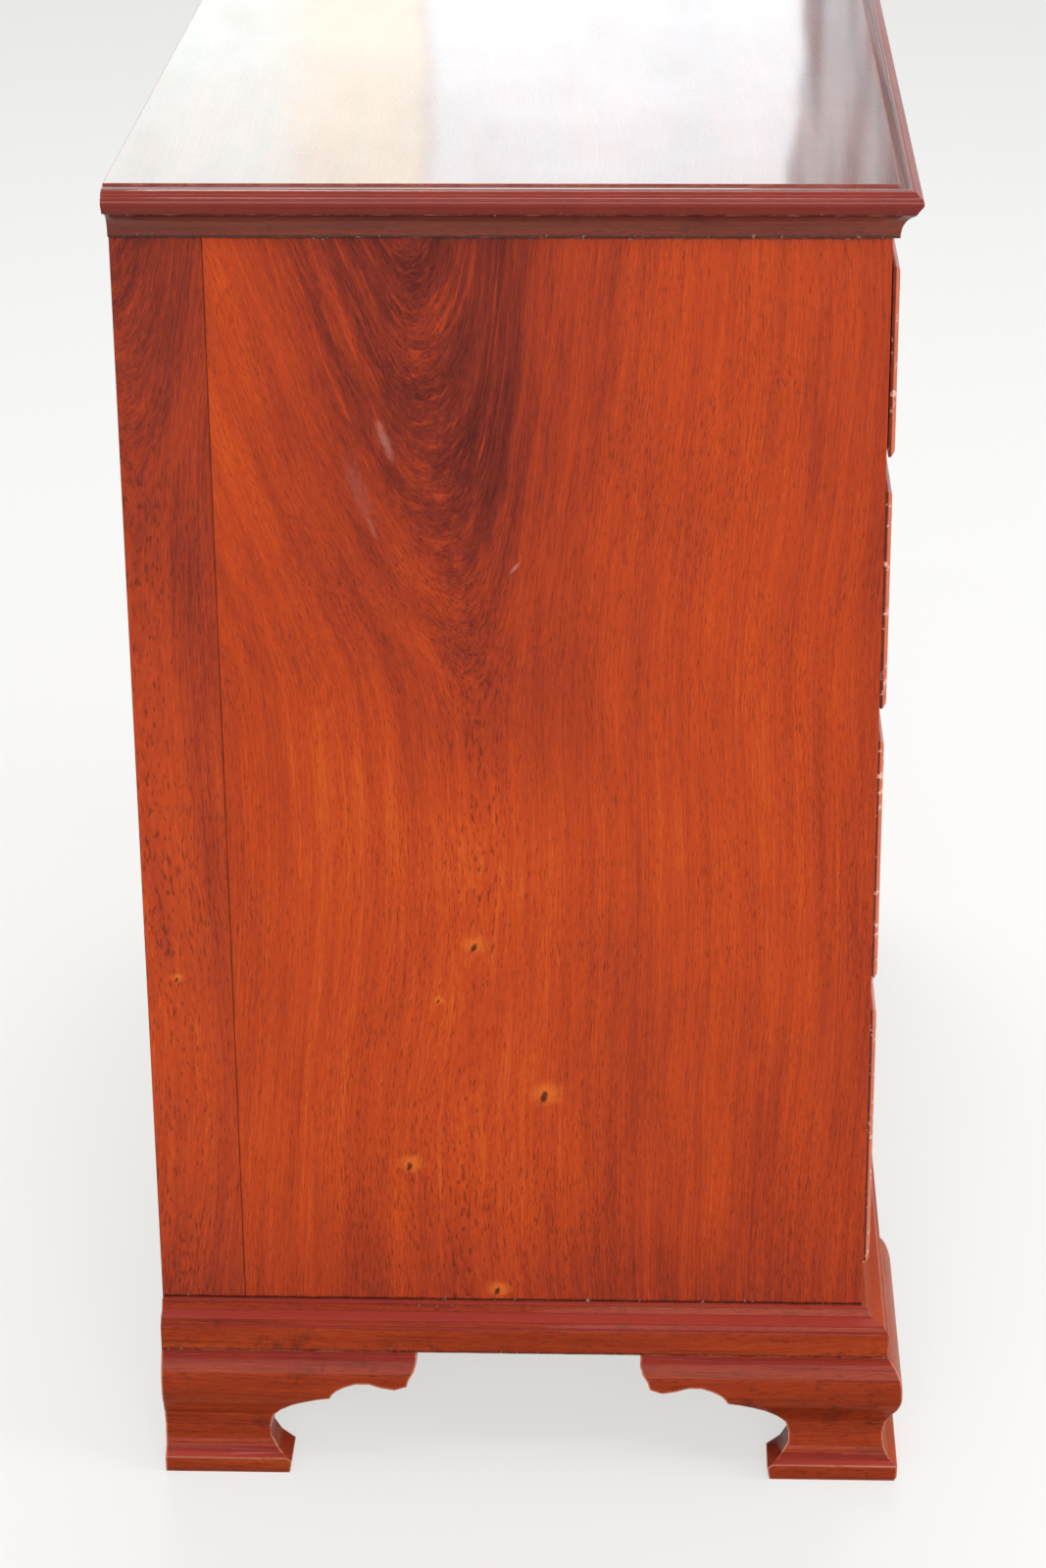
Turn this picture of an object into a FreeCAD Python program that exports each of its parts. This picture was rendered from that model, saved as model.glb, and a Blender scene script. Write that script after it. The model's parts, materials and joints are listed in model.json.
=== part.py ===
import FreeCAD, Part
import math
import os

# Chippendale chest of four graduated drawers with a blocked (hollow-centred) front, ogee bracket feet
# and brass bail pulls.  Units are millimetres.  +Z is up, the front faces -Y, and the origin lies on the
# floor at the centre of the chest's overall footprint.

Vec = FreeCAD.Vector

# ---------------------------------------------------------------- driving dimensions
# Case
case_width = 860.0
case_depth = 432.0
side_thickness = 20.0
rear_board_width = 51.5        # narrow board glued along the back edge of each side
socket_depth = 8.0             # how far rails, blades and the bottom are let into the sides
socket_slope = 3.0             # undercut of the dovetailed rail and blade ends, each way
back_thickness = 12.0
back_board_count = 3
board_gap = 1.0                # open joint between two back boards
bottom_thickness = 16.0

# Blocked front line, seen from above, from the side of the case to its centre
shoulder_radius = 70.0         # beyond the pulls the block's face rounds off
shoulder_angle = 40.0
hollow_radius = 37.0           # and sweeps out onto the flat centre

# Rails, blades and runners
blade_exposed = 20.0           # height seen between two drawers, and above the top one
bottom_rail_exposed = 22.5
lip_overlap = 3.0              # drawer lip over the blades above and below
blade_depth = 72.0
rail_depth = 60.0
runner_width = 20.0
runner_height = 22.0

# Top and cove moulding
top_thickness = 15.0
top_overhang = 15.7
top_back_overhang = 1.5
top_bead_height = 9.8          # from the underside to the top of the nosing bead
top_field_step = 1.4           # the flat field stands this far above its moulded border
top_field_margin = 13.1        # from the nosing to the field's edge
cove_height = 15.0
cove_foot = 3.9
cove_foot_height = 2.4
cove_projection = 12.1
cove_chords = 3

# Base moulding and feet
base_height = 28.4
base_projection = 16.2
base_bead = 2.2
base_ogee_height = 9.0
base_arris = 1.4               # step from the ogee out to the fascia
moulding_chords = 2            # straight lengths to each curve of a moulding that follows the block
foot_chords = 3
foot_height = 84.6
knee_projection = 25.0
ankle_projection = 14.5
toe_projection = 23.6
knee_height = 68.8
ankle_height = 27.0
toe_height = 11.3
foot_back = 5.0                # the bracket's flat back, inside the case line
foot_corner = 22.0             # the scroll is set out from a corner this far outside the case line
bracket_length = 158.0
rear_bracket_length = 118.0
rear_bracket_thickness = 18.0
rear_bracket_toe = 55.0        # its width on the floor
rear_bracket_drop = 26.0       # its height at the inner end
glue_block = 30.0
glue_block_lift = 1.0          # upright blocks clear the floor
glue_strip = 18.0
glue_strip_length = 90.0

# Drawers, from the top one down
drawer_lip_heights = [111.0, 133.0, 154.0, 174.0]
drawer_stand = [1.2, 0.5, 0.0, 0.2]   # how far each drawer stands short of home, at rest
lip_gap = 0.3                  # air between the lip and the case when home
lip_edge = 2.0                 # projections from the case's front line
drawer_face = 4.4
thumb_width = 6.0
lip_end_margin = 12.0          # from the case's side to the lip's end
front_inner_face = 40.0        # depth of the drawer front's flat back
running_gap = 0.3              # under a drawer
head_gap = 2.0                 # over a drawer front
side_gap = 1.0                 # at each end of a drawer
drawer_rear_gap = 8.0          # air between a drawer at home and the back boards
drawer_side_thickness = 12.0
drawer_side_drop = 4.0         # drawer sides stop below the opening's top
drawer_back_drop = 9.0
drawer_back_thickness = 12.0
drawer_bottom_thickness = 8.0
drawer_bottom_height = 8.0     # the bottom's groove above the side's lower edge
groove_depth = 5.0
side_top_bevel = 2.0
front_tail_length = 20.0
tail_slope = 6.0               # one in this many
tail_pitch = 44.0              # about one dovetail to this height
tail_share = 0.62              # of the pitch, across a tail's wide end
thumb_chords = 2

# Brass pulls.  Small turned and cast pieces have few sides, because there are so many of them.
ring_sides = 6
plate_chords = 2               # straight edges to each scallop of a plate
pull_margin = 195.0            # pull centre from the case's side
pull_spacing = 64.0            # between the two posts
plate_half_width = 43.5
plate_rise = 26.0              # above the posts' line
plate_fall = 29.0
plate_margin = 12.5            # flat face beyond each back plate, before the block falls away
escutcheon_half_width = 21.0
escutcheon_rise = 25.0
escutcheon_fall = 27.0
plate_thickness = 1.2
pivot_standoff = 5.6           # bail axis in front of the drawer's face
post_ball_radius = 4.4
post_ball_half = 3.2           # along the post: flattened, so that the pull stands close to the face
post_neck_radius = 2.7
post_shank_radius = 2.5
flange_radius = 6.0
bail_radius = 2.2
bail_pin_radius = 1.65
bail_pin_clearance = 0.25
pin_flats = 4
bail_shoulder = 5.6            # from the post's centre to where the bail turns down
bail_corner = 4.5              # radii of the bail's turns, from the shoulder to the grip
bail_neck = 14.0
bail_waist = 12.0
bail_hip = 12.0
bail_sway = 50.0               # degrees that the neck leans inwards
bail_chord = 50.0              # largest bend between two straight lengths, in degrees
shank_end = 5.0                # length inside the drawer, for a nut
hole_clearance = 0.2

# Locks and escutcheons
lock_width = 60.0
lock_height = 38.0
lock_depth = 10.0
lock_wall = 2.0
selvage_depth = 14.0
selvage_thickness = 2.0
bolt_width = 20.0
bolt_thickness = 5.0
bolt_travel = 7.0
bolt_length = 14.0
bolt_clearance = 0.3
bolt_setdown = 0.5             # a drawn bolt's top, below the selvage
mortise_clearance = 1.0
keyhole_radius = 2.6
keyhole_drop = 9.0
keyhole_setdown = 4.0          # below the middle of the lock
keyhole_width = 3.0

# ---------------------------------------------------------------- derived places
# from the base moulding's top to the cove moulding's foot
case_visible_height = sum(drawer_lip_heights) + len(drawer_lip_heights) * blade_exposed + bottom_rail_exposed
half_width = case_width / 2.0
half_opening = half_width - side_thickness
overall_depth = knee_projection + case_depth + top_back_overhang
front_y = -overall_depth / 2.0 + knee_projection
case_bottom = foot_height
base_top = case_bottom + base_height
cove_bottom = base_top + case_visible_height
case_top = cove_bottom + cove_height
drawer_floor = base_top + bottom_rail_exposed + lip_overlap
back_depth = case_depth - back_thickness
drawer_back_depth = back_depth - drawer_rear_gap
pivot_depth = -drawer_face - pivot_standoff
block_margin = pull_margin + plate_half_width + plate_margin
half_drawer = half_opening - side_gap
half_lip = half_width - lip_end_margin


def drawer_lips():
    """Lip bottoms and tops, from the top drawer down."""
    lips = []
    top = cove_bottom - blade_exposed
    for height in drawer_lip_heights:
        lips.append((top - height, top))
        top -= height + blade_exposed
    return lips


# ---------------------------------------------------------------- geometry helpers
def point(x, depth, z):
    """A point from x, the depth behind the case's front line and the height."""
    return Vec(x, front_y + depth, z)


def box(x0, x1, depth0, depth1, z0, z1):
    corner = point(min(x0, x1), min(depth0, depth1), min(z0, z1))
    return Part.makeBox(abs(x1 - x0), abs(depth1 - depth0), abs(z1 - z0), corner)


def line(a, b):
    return Part.LineSegment(a, b).toShape()


def arc(a, middle, b):
    return Part.Arc(a, middle, b).toShape()


def polyline(points):
    return [line(a, b) for a, b in zip(points, points[1:])]


def chorded(points, count):
    """Corners of a run of arcs, given as (a, b) triples that share their ends; count chords to each arc."""
    corners = [points[0]]
    for n in range(0, len(points) - 2, 2):
        a, middle, b = [Vec(*p, 0) for p in points[n:n + 3]]
        curve = Part.Arc(a, middle, b)
        low, high = curve.FirstParameter, curve.LastParameter
        run = [curve.value(low + (high - low) * k / count) for k in range(count + 1)]
        if run[0].distanceToPoint(a) > run[-1].distanceToPoint(a):
            run.reverse()
        corners += [(q.x, q.y) for q in run[1:]]
    return corners


def faceted(rings):
    """A solid of flat faces between rings that have the same number of corners."""
    faces = [Part.Face(Part.makePolygon(ring + ring[:1])) for ring in (rings[0], rings[-1])]
    for low, high in zip(rings, rings[1:]):
        for n in range(len(low)):
            faces.append(Part.Face(Part.makePolygon([low[n - 1], low[n], high[n], high[n - 1], low[n - 1]])))
    solid = Part.makeSolid(Part.makeShell(faces))
    return solid if solid.Volume > 0 else solid.reversed()


def turned(profile, x, z):
    """A small turned piece along Y through (x, z), from (depth, radius) pairs."""
    angles = [2 * math.pi * (n + 0.5) / ring_sides for n in range(ring_sides)]
    rings = []
    for depth, radius in profile:
        reach = radius / math.cos(math.pi / ring_sides)
        rings.append([point(x + reach * math.cos(a), depth, z + reach * math.sin(a)) for a in angles])
    return faceted(rings)


def bent_rod(corners, depth, radius):
    """A rod in a plane of constant depth along (x, z) corners, mitred at each."""
    places = [point(x, depth, z) for x, z in corners]
    steps = [(b - a).normalize() for a, b in zip(places, places[1:])]
    reach = radius / math.cos(math.pi / ring_sides)
    angles = [2 * math.pi * (n + 0.5) / ring_sides for n in range(ring_sides)]
    rings = []
    for place, before, after in zip(places, steps[:1] + steps, steps + steps[-1:]):
        along = (before + after).normalize()
        across = Vec(-along.z, 0, along.x) * (reach / along.dot(after))
        rings.append([place + across * math.cos(a) + Vec(0, reach * math.sin(a), 0) for a in angles])
    return faceted(rings)


def face_of(edges):
    return Part.Face(Part.Wire(Part.__sortEdges__(edges)))


def extruded(edges, direction):
    return face_of(edges).extrude(direction)


def mirrored(shape):
    return shape.mirror(Vec(0, 0, 0), Vec(1, 0, 0))


def pair(shape):
    """The shape on the right-hand side and its twin on the left."""
    return [shape, mirrored(shape)]


def fused(shapes):
    result = shapes[0]
    for shape in shapes[1:]:
        result = result.fuse(shape)
    return result.removeSplitter()


def cut_all(shape, tools):
    for tool in tools:
        shape = shape.cut(tool)
    return shape


# ---------------------------------------------------------------- the blocked front line
def hollow_arcs():
    """Centres, radii and angles of the two arcs of the right-hand block, from the margin inwards.
    The second one curves the other way."""
    turn = math.radians(shoulder_angle)
    shoulder_centre = (half_width - block_margin, shoulder_radius)
    reach = shoulder_radius + hollow_radius
    hollow_centre = (
        shoulder_centre[0] - reach * math.sin(turn),
        shoulder_centre[1] - reach * math.cos(turn),
    )
    return [(shoulder_centre, shoulder_radius, 0.0, turn), (hollow_centre, -hollow_radius, turn, 0.0)]


def hollow_depth():
    centre, radius, _, _ = hollow_arcs()[-1]
    return centre[1] - radius


def block_point(centre, radius, angle, forward):
    """A point of the front line pushed forward, on one of the arcs."""
    reach = radius + forward
    return (centre[0] - reach * math.sin(angle), centre[1] - reach * math.cos(angle))


def blocked_line(forward, half, z=0.0):
    """Edges of the front line pushed forward, from x = -half to x = half."""
    edges = []
    reached = (half, -forward)
    for centre, radius, start, end in hollow_arcs():
        first = block_point(centre, radius, start, forward)
        middle = block_point(centre, radius, (start + end) / 2.0, forward)
        last = block_point(centre, radius, end, forward)
        if not edges:
            edges.append(line(point(*reached, z), point(*first, z)))
        edges.append(arc(point(*first, z), point(*middle, z), point(*last, z)))
        reached = last
    centre_line = line(point(-reached[0], reached[1], z), point(*reached, z))
    return edges + [mirrored(edge) for edge in edges] + [centre_line]


def plan_slab(forward, half, rear, z0, z1):
    """A slab with the blocked front line before it and a straight back at depth rear."""
    edges = blocked_line(forward, half, z0)
    edges += polyline([
        point(half, -forward, z0),
        point(half, rear, z0),
        point(-half, rear, z0),
        point(-half, -forward, z0),
    ])
    return extruded(edges, Vec(0, 0, z1 - z0))


def swept_front(profile_edges, half):
    """A closed profile, drawn at x = -half, run along the blocked front line."""
    spine = Part.Wire(Part.__sortEdges__(blocked_line(0.0, half)))
    profile = Part.Wire(Part.__sortEdges__(profile_edges))
    sweep = Part.BRepOffsetAPI.MakePipeShell(spine)
    sweep.setBiNormalMode(Vec(0, 0, 1))
    sweep.add(profile)
    sweep.build()
    sweep.makeSolid()
    solid = sweep.shape()
    return solid if solid.Volume > 0 else solid.reversed()


def corner_wedge(length, height, z0):
    """Everything outside the right-hand mitre: the half that belongs to the side."""
    edges = polyline([
        point(half_width - length, length, z0),
        point(half_width + length, -length, z0),
        point(half_width + length, length, z0),
        point(half_width - length, length, z0),
    ])
    return extruded(edges, Vec(0, 0, height))


# ---------------------------------------------------------------- joints in the case
def tongue(z0, z1, depth0, depth1):
    """The right-hand dovetailed end of a rail or blade."""
    tip = half_opening + socket_depth
    edges = polyline([
        point(half_opening, depth0, z0 + socket_slope),
        point(tip, depth0, z0),
        point(tip, depth0, z1),
        point(half_opening, depth0, z1 - socket_slope),
        point(half_opening, depth0, z0 + socket_slope),
    ])
    return extruded(edges, Vec(0, depth1 - depth0, 0))


def rail_levels():
    """Name, bottom, top and depth of each front member, from the top down."""
    lips = drawer_lips()
    members = [("top_rail", lips[0][1] - lip_overlap, case_top, rail_depth)]
    for n in range(len(lips) - 1):
        bottom = lips[n + 1][1] - lip_overlap
        members.append((f"blade_{n + 1}", bottom, lips[n][0] + lip_overlap, blade_depth))
    members.append(("bottom_rail", case_bottom, drawer_floor, front_inner_face))
    return members


def openings():
    """Bottom and top of each drawer's opening, from the top down."""
    return [(low + lip_overlap, high - lip_overlap) for low, high in drawer_lips()]


# ---------------------------------------------------------------- the case
def make_rails():
    parts = {}
    for number, (name, z0, z1, depth) in enumerate(rail_levels()):
        rail = fused([plan_slab(0.0, half_opening, depth, z0, z1)] + pair(tongue(z0, z1, 0.0, depth)))
        if number < len(drawer_lip_heights):
            rail = rail.cut(bolt_mortise(number, z0))
        parts[name] = rail
    return parts


def bolt_mortise(number, z):
    """The pocket over a lock's bolt, in the member above the drawer."""
    spare = mortise_clearance
    front = bolt_depth() - drawer_stand[number] - spare
    return box(
        -bolt_width / 2 - spare, bolt_width / 2 + spare,
        front, front + bolt_thickness + 2 * spare,
        z, z + bolt_travel + spare,
    )


def make_sides():
    """The two glued boards of the right-hand side, sockets cut, then their twins."""
    sockets = [tongue(z0, z1, 0.0, depth) for _, z0, z1, depth in rail_levels()]
    sockets.append(box(
        half_opening, half_opening + socket_depth, front_inner_face, back_depth,
        drawer_floor - bottom_thickness, drawer_floor,
    ))
    rebate = box(half_opening, half_opening + side_thickness / 2, back_depth, case_depth, case_bottom, case_top)
    seam = case_depth - rear_board_width
    front_board = cut_all(box(half_opening, half_width, 0.0, seam, case_bottom, case_top), sockets)
    rear_board = box(half_opening, half_width, seam, case_depth, case_bottom, case_top)
    rear_board = cut_all(rear_board, sockets + [rebate])
    return {
        "side_right_board": front_board,
        "side_left_board": mirrored(front_board),
        "side_right_rear_board": rear_board,
        "side_left_rear_board": mirrored(rear_board),
    }


def make_bottom_board():
    half = half_opening + socket_depth
    return box(-half, half, front_inner_face, back_depth, drawer_floor - bottom_thickness, drawer_floor)


def make_back_boards():
    half = half_opening + side_thickness / 2
    height = (case_top - case_bottom - (back_board_count - 1) * board_gap) / back_board_count
    boards = []
    for n in range(back_board_count):
        z0 = case_bottom + n * (height + board_gap)
        boards.append(box(-half, half, back_depth, case_depth, z0, z0 + height))
    return Part.makeCompound(boards)


def make_runners():
    """Runners beside the blades and kickers under the top, nailed to the sides."""
    bars = []
    for z0, _ in openings()[:-1]:
        bar = box(half_opening - runner_width, half_opening, blade_depth, back_depth, z0 - runner_height, z0)
        bars += pair(bar)
    kicker = box(half_opening - runner_width, half_opening, rail_depth, back_depth, openings()[0][1], case_top)
    return Part.makeCompound(bars + pair(kicker))


def top_edge_profile():
    """Section of the moulded edge as (projection, height above the case), from underneath up."""
    nose = top_overhang
    crest = top_bead_height
    border = top_thickness - top_field_step
    return {
        "under": (cove_projection, 0.0),
        "bead_low": (0.925 * nose, 0.41 * crest),
        "bead_mid": (nose, 0.745 * crest),
        "bead_high": (0.905 * nose, crest),
        "ovolo_low": (0.865 * nose, 1.01 * crest),
        "ovolo_mid": (0.73 * nose, 0.28 * crest + 0.72 * border),
        "ovolo_high": (0.49 * nose, border),
        "step_foot": (nose - 0.98 * top_field_margin, border + 0.15 * top_field_step),
        "step_top": (nose - top_field_margin, top_thickness),
    }


def moulded_edge(place):
    """Edges of the top's moulded edge, with place(projection, height) giving a point."""
    p = {name: place(*value) for name, value in top_edge_profile().items()}
    return [
        line(p["under"], p["bead_low"]),
        arc(p["bead_low"], p["bead_mid"], p["bead_high"]),
        line(p["bead_high"], p["ovolo_low"]),
        arc(p["ovolo_low"], p["ovolo_mid"], p["ovolo_high"]),
        line(p["ovolo_high"], p["step_foot"]),
        line(p["step_foot"], p["step_top"]),
    ]


def make_top():
    """Two mouldings crossed: the front edge run along X and both ends run along Y."""
    profile = top_edge_profile()
    back = case_depth + top_back_overhang
    reach = half_width + top_overhang

    def at_front(projection, height):
        return point(-reach, -projection, case_top + height)

    def at_right(projection, height):
        return point(half_width + projection, -top_overhang, case_top + height)

    def at_left(projection, height):
        return point(-half_width - projection, -top_overhang, case_top + height)

    front = moulded_edge(at_front) + polyline([
        at_front(*profile["step_top"]),
        point(-reach, back, case_top + top_thickness),
        point(-reach, back, case_top),
        at_front(*profile["under"]),
    ])
    ends = moulded_edge(at_right) + moulded_edge(at_left)
    ends.append(line(at_right(*profile["step_top"]), at_left(*profile["step_top"])))
    ends.append(line(at_right(*profile["under"]), at_left(*profile["under"])))
    along_x = extruded(front, Vec(2 * reach, 0, 0))
    along_y = extruded(ends, Vec(0, back + top_overhang, 0))
    return along_x.common(along_y)


# ---------------------------------------------------------------- mouldings
def cove_profile(place):
    """The cove under the top, with place(projection, height) giving a point."""
    hollow = (
        cove_foot + 0.3 * (cove_projection - cove_foot),
        cove_foot_height + 0.6 * (cove_height - cove_foot_height),
    )
    sweep = chorded([(cove_foot, cove_foot_height), hollow, (cove_projection, cove_height)], cove_chords)
    corners = sweep + [(0.0, cove_height), (0.0, 0.0), (cove_foot, 0.0), sweep[0]]
    return polyline([place(*corner) for corner in corners])


def base_profile(place):
    """The base moulding: a bead, an ogee and a plain fascia."""
    turn = base_bead * math.sqrt(0.5)
    bead = (2 * base_bead, base_height - base_bead)
    crown = (base_bead + turn, bead[1] + turn)
    end = (base_projection - base_arris, bead[1] - base_ogee_height)
    middle = ((bead[0] + end[0]) / 2, (bead[1] + end[1]) / 2)
    bow = 0.12 * base_ogee_height
    hollow = ((bead[0] + middle[0]) / 2 - bow, (bead[1] + middle[1]) / 2 - bow)
    swell = ((middle[0] + end[0]) / 2 + bow, (middle[1] + end[1]) / 2 + bow)
    curve = chorded([(base_bead, base_height), crown, bead, hollow, middle, swell, end], moulding_chords)
    corners = [(0.0, base_height)] + curve + [
        (base_projection, end[1] - base_arris / 2),
        (base_projection, 0.0),
        (0.0, 0.0),
        (0.0, base_height),
    ]
    return polyline([place(*corner) for corner in corners])


def mitred_run(profile, z0, height):
    """Front, left and right lengths of a moulding that goes round the case."""
    reach = half_width + 2 * knee_projection
    wedge = corner_wedge(3 * knee_projection, height, z0)

    def at_front(projection, rise):
        return point(-reach, -projection, z0 + rise)

    def at_side(projection, rise):
        return point(half_width + projection, -2 * knee_projection, z0 + rise)

    front = cut_all(swept_front(profile(at_front), reach), [wedge, mirrored(wedge)])
    run = extruded(profile(at_side), Vec(0, 2 * knee_projection + case_depth, 0))
    beyond = box(0.0, 2 * half_width, -4 * knee_projection, 3 * knee_projection, z0, z0 + height)
    side = run.cut(beyond.cut(wedge))
    return [front, side, mirrored(side)]


# ---------------------------------------------------------------- feet
def foot_profile(place):
    """Section of an ogee bracket: knee, ankle and toe outside, flat back inside."""
    shoulder = (1.04 * base_projection, foot_height)
    knee = (knee_projection, knee_height)
    bend = (0.515 * (knee_projection + ankle_projection), 0.5 * (knee_height + ankle_height))
    ankle = (ankle_projection, ankle_height)
    waist = (1.075 * ankle_projection, 0.76 * ankle_height)
    instep = (1.255 * ankle_projection, 1.32 * toe_height)
    toe = (toe_projection, toe_height)
    curve = chorded([shoulder, knee, bend, ankle, waist, instep, toe], foot_chords)
    corners = curve + [
        (0.987 * toe_projection, 0.35 * toe_height),
        (0.924 * toe_projection, 0.0),
        (-foot_back, 0.0),
        (-foot_back, foot_height),
        shoulder,
    ]
    return polyline([place(*corner) for corner in corners])


def scroll_outline(place):
    """Elevation of a bracket, set out from its outer corner, with place(distance, height).
    The scroll's points are shares of the bracket's length and of the foot's height."""
    curve = chorded([
        (1.0, 1.0), (0.997, 0.91), (0.971, 0.827),
        (0.918, 0.742), (0.861, 0.757),
        (0.785, 0.79), (0.715, 0.757),
        (0.681, 0.719), (0.658, 0.656),
        (0.585, 0.629), (0.513, 0.579),
        (0.447, 0.492), (0.418, 0.366),
        (0.439, 0.201), (0.5, 0.106),
    ], foot_chords)
    corner = -2 * foot_corner / bracket_length
    outline = curve + [(0.49, 0.0), (corner, 0.0), (corner, 1.0), curve[0]]
    return polyline([place(along * bracket_length, up * foot_height) for along, up in outline])


def side_bracket(corner_depth, direction):
    """A right-hand bracket along the side, its scroll running from corner_depth in direction +1 or -1."""
    far = 2 * bracket_length

    def at_side(projection, height):
        return point(half_width + projection, corner_depth - direction * 2 * foot_corner, height)

    def in_elevation(distance, height):
        return point(half_width - 2 * foot_corner, corner_depth + direction * distance, height)

    block = extruded(foot_profile(at_side), Vec(0, direction * far, 0))
    scroll = extruded(scroll_outline(in_elevation), Vec(4 * foot_corner, 0, 0))
    return block.common(scroll)


def front_bracket():
    """The right-hand bracket under the front."""
    corner_x = half_width + foot_corner

    def at_front(projection, height):
        return point(corner_x + 2 * foot_corner, -projection, height)

    def in_elevation(distance, height):
        return point(corner_x - distance, -2 * foot_corner, height)

    block = extruded(foot_profile(at_front), Vec(-2 * bracket_length, 0, 0))
    scroll = extruded(scroll_outline(in_elevation), Vec(0, 4 * foot_corner, 0))
    return block.common(scroll)


def make_feet():
    wedge = corner_wedge(3 * knee_projection, foot_height, 0.0)
    outside = box(0, 2 * half_width, -4 * knee_projection, 3 * knee_projection, 0.0, foot_height).cut(wedge)
    along_side = side_bracket(-foot_corner, 1).cut(outside)
    along_front = front_bracket().cut(wedge)
    front_right = Part.makeCompound([along_front, along_side])

    square_end = box(0, 2 * half_width, case_depth, case_depth + 4 * foot_corner, 0.0, foot_height)
    rear_side = side_bracket(case_depth, -1).cut(square_end)
    inner = half_width - foot_back
    front = case_depth - rear_bracket_thickness
    rear = extruded(polyline([
        point(inner, front, foot_height),
        point(inner - rear_bracket_length, front, foot_height),
        point(inner - rear_bracket_length, front, foot_height - rear_bracket_drop),
        point(inner - rear_bracket_toe, front, 0.0),
        point(inner, front, 0.0),
        point(inner, front, foot_height),
    ]), Vec(0, rear_bracket_thickness, 0))
    rear_right = Part.makeCompound([rear_side, rear])
    return {
        "foot_front_right": front_right,
        "foot_front_left": mirrored(front_right),
        "foot_rear_right": rear_right,
        "foot_rear_left": mirrored(rear_right),
    }


def make_glue_blocks():
    """Upright blocks in the corners of the feet and strips along the brackets."""
    inner = half_width - foot_back
    front = foot_back
    rear = case_depth - rear_bracket_thickness
    floor = foot_height - glue_strip
    after = front + glue_block
    along = inner - glue_block
    before = rear - glue_block
    bars = [
        box(along, inner, front, after, glue_block_lift, foot_height),
        box(along, inner, before, rear, glue_block_lift, foot_height),
        box(inner - glue_strip, inner, after, after + glue_strip_length, floor, foot_height),
        box(along - glue_strip_length, along, front, front + glue_strip, floor, foot_height),
        box(inner - glue_strip, inner, before - glue_strip_length, before, floor, foot_height),
    ]
    blocks = []
    for bar in bars:
        blocks += pair(bar)
    return Part.makeCompound(blocks)


# ---------------------------------------------------------------- drawers
def tail_set(x0, x1, depth_root, depth_tip, z0, z1):
    """Dovetails through the thickness x0 to x1, widest at depth_tip."""
    count = max(2, round((z1 - z0) / tail_pitch))
    pitch = (z1 - z0) / count
    tip_half = tail_share / 2 * pitch
    root_half = tip_half - abs(depth_tip - depth_root) / tail_slope
    tails = []
    for n in range(count):
        middle = z0 + (n + 0.5) * pitch
        tails.append(extruded(polyline([
            point(x0, depth_root, middle - root_half),
            point(x0, depth_tip, middle - tip_half),
            point(x0, depth_tip, middle + tip_half),
            point(x0, depth_root, middle + root_half),
            point(x0, depth_root, middle - root_half),
        ]), Vec(x1 - x0, 0, 0)))
    return tails


def stand_out(shape, number):
    """Moves a drawer's piece to where the drawer rests."""
    moved = shape.copy()
    moved.translate(Vec(0, -drawer_stand[number], 0))
    return moved


def drawer_levels(number):
    """Heights inside one drawer: underside, front top, side top, back top, and the bottom panel."""
    low, high = openings()[number]
    floor = low + running_gap
    panel = floor + drawer_bottom_height
    return {
        "floor": floor,
        "front_top": high - head_gap,
        "side_top": high - drawer_side_drop,
        "back_top": high - drawer_back_drop,
        "panel": panel,
        "panel_top": panel + drawer_bottom_thickness,
    }


def front_tails(number):
    level = drawer_levels(number)
    inner = half_drawer - drawer_side_thickness
    depth_tip = front_inner_face - front_tail_length
    return tail_set(inner, half_drawer, front_inner_face, depth_tip, level["floor"], level["side_top"])


def back_tails(number):
    level = drawer_levels(number)
    inner = half_drawer - drawer_side_thickness
    root = drawer_back_depth - drawer_back_thickness
    return tail_set(inner, half_drawer, root, drawer_back_depth, level["panel_top"], level["back_top"])


def bottom_panel(number):
    level = drawer_levels(number)
    half = half_drawer - drawer_side_thickness + groove_depth
    start = front_inner_face - groove_depth
    return box(-half, half, start, drawer_back_depth, level["panel"], level["panel_top"])


def thumbnail():
    """(projection, distance in from the lip's end) of the rounded edge, outside to inside."""
    rise = drawer_face - lip_edge
    middle = (lip_edge + 0.75 * rise, 0.36 * thumb_width)
    return chorded([(lip_edge, 0.0), middle, (drawer_face, thumb_width)], thumb_chords)


def lip_section(place, low, high):
    """The front's upright section: thin lip, thumbnail edge, face; place(projection, height)."""
    lower = [place(projection, low + inward) for projection, inward in thumbnail()]
    upper = [place(projection, high - inward) for projection, inward in thumbnail()]
    back = [place(lip_gap, high), place(lip_gap, low)]
    return polyline(lower + upper[::-1] + back + lower[:1])


def end_section(z):
    """Plan of the lip and face with the same thumbnail at both ends."""
    edges = []
    for side in (1, -1):
        end = [point(side * (half_lip - inward), -projection, z) for projection, inward in thumbnail()]
        edges += polyline([point(side * half_lip, -lip_gap, z)] + end)
    edges += blocked_line(drawer_face, half_lip - thumb_width, z)
    edges += blocked_line(lip_gap, half_lip, z)
    return edges


def make_drawer_front(number):
    low, high = drawer_lips()[number]
    level = drawer_levels(number)

    def at_end(projection, z):
        return point(-half_width, -projection, z)

    along = swept_front(lip_section(at_end, low, high), half_width)
    upright = extruded(end_section(low), Vec(0, 0, high - low))
    lip = along.common(upright)
    body = plan_slab(lip_gap + 1.0, half_drawer, front_inner_face, level["floor"], level["front_top"])
    front = lip.fuse(body).removeSplitter()
    tools = [bottom_panel(number)]
    for tail in front_tails(number):
        tools += pair(tail)
    tools += [post_hole(x, number) for x in post_places()]
    tools.append(lock_pocket(number))
    tools.append(keyhole(number, -drawer_face + hollow_depth() - 1.0, front_inner_face))
    return cut_all(front, tools)


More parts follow.
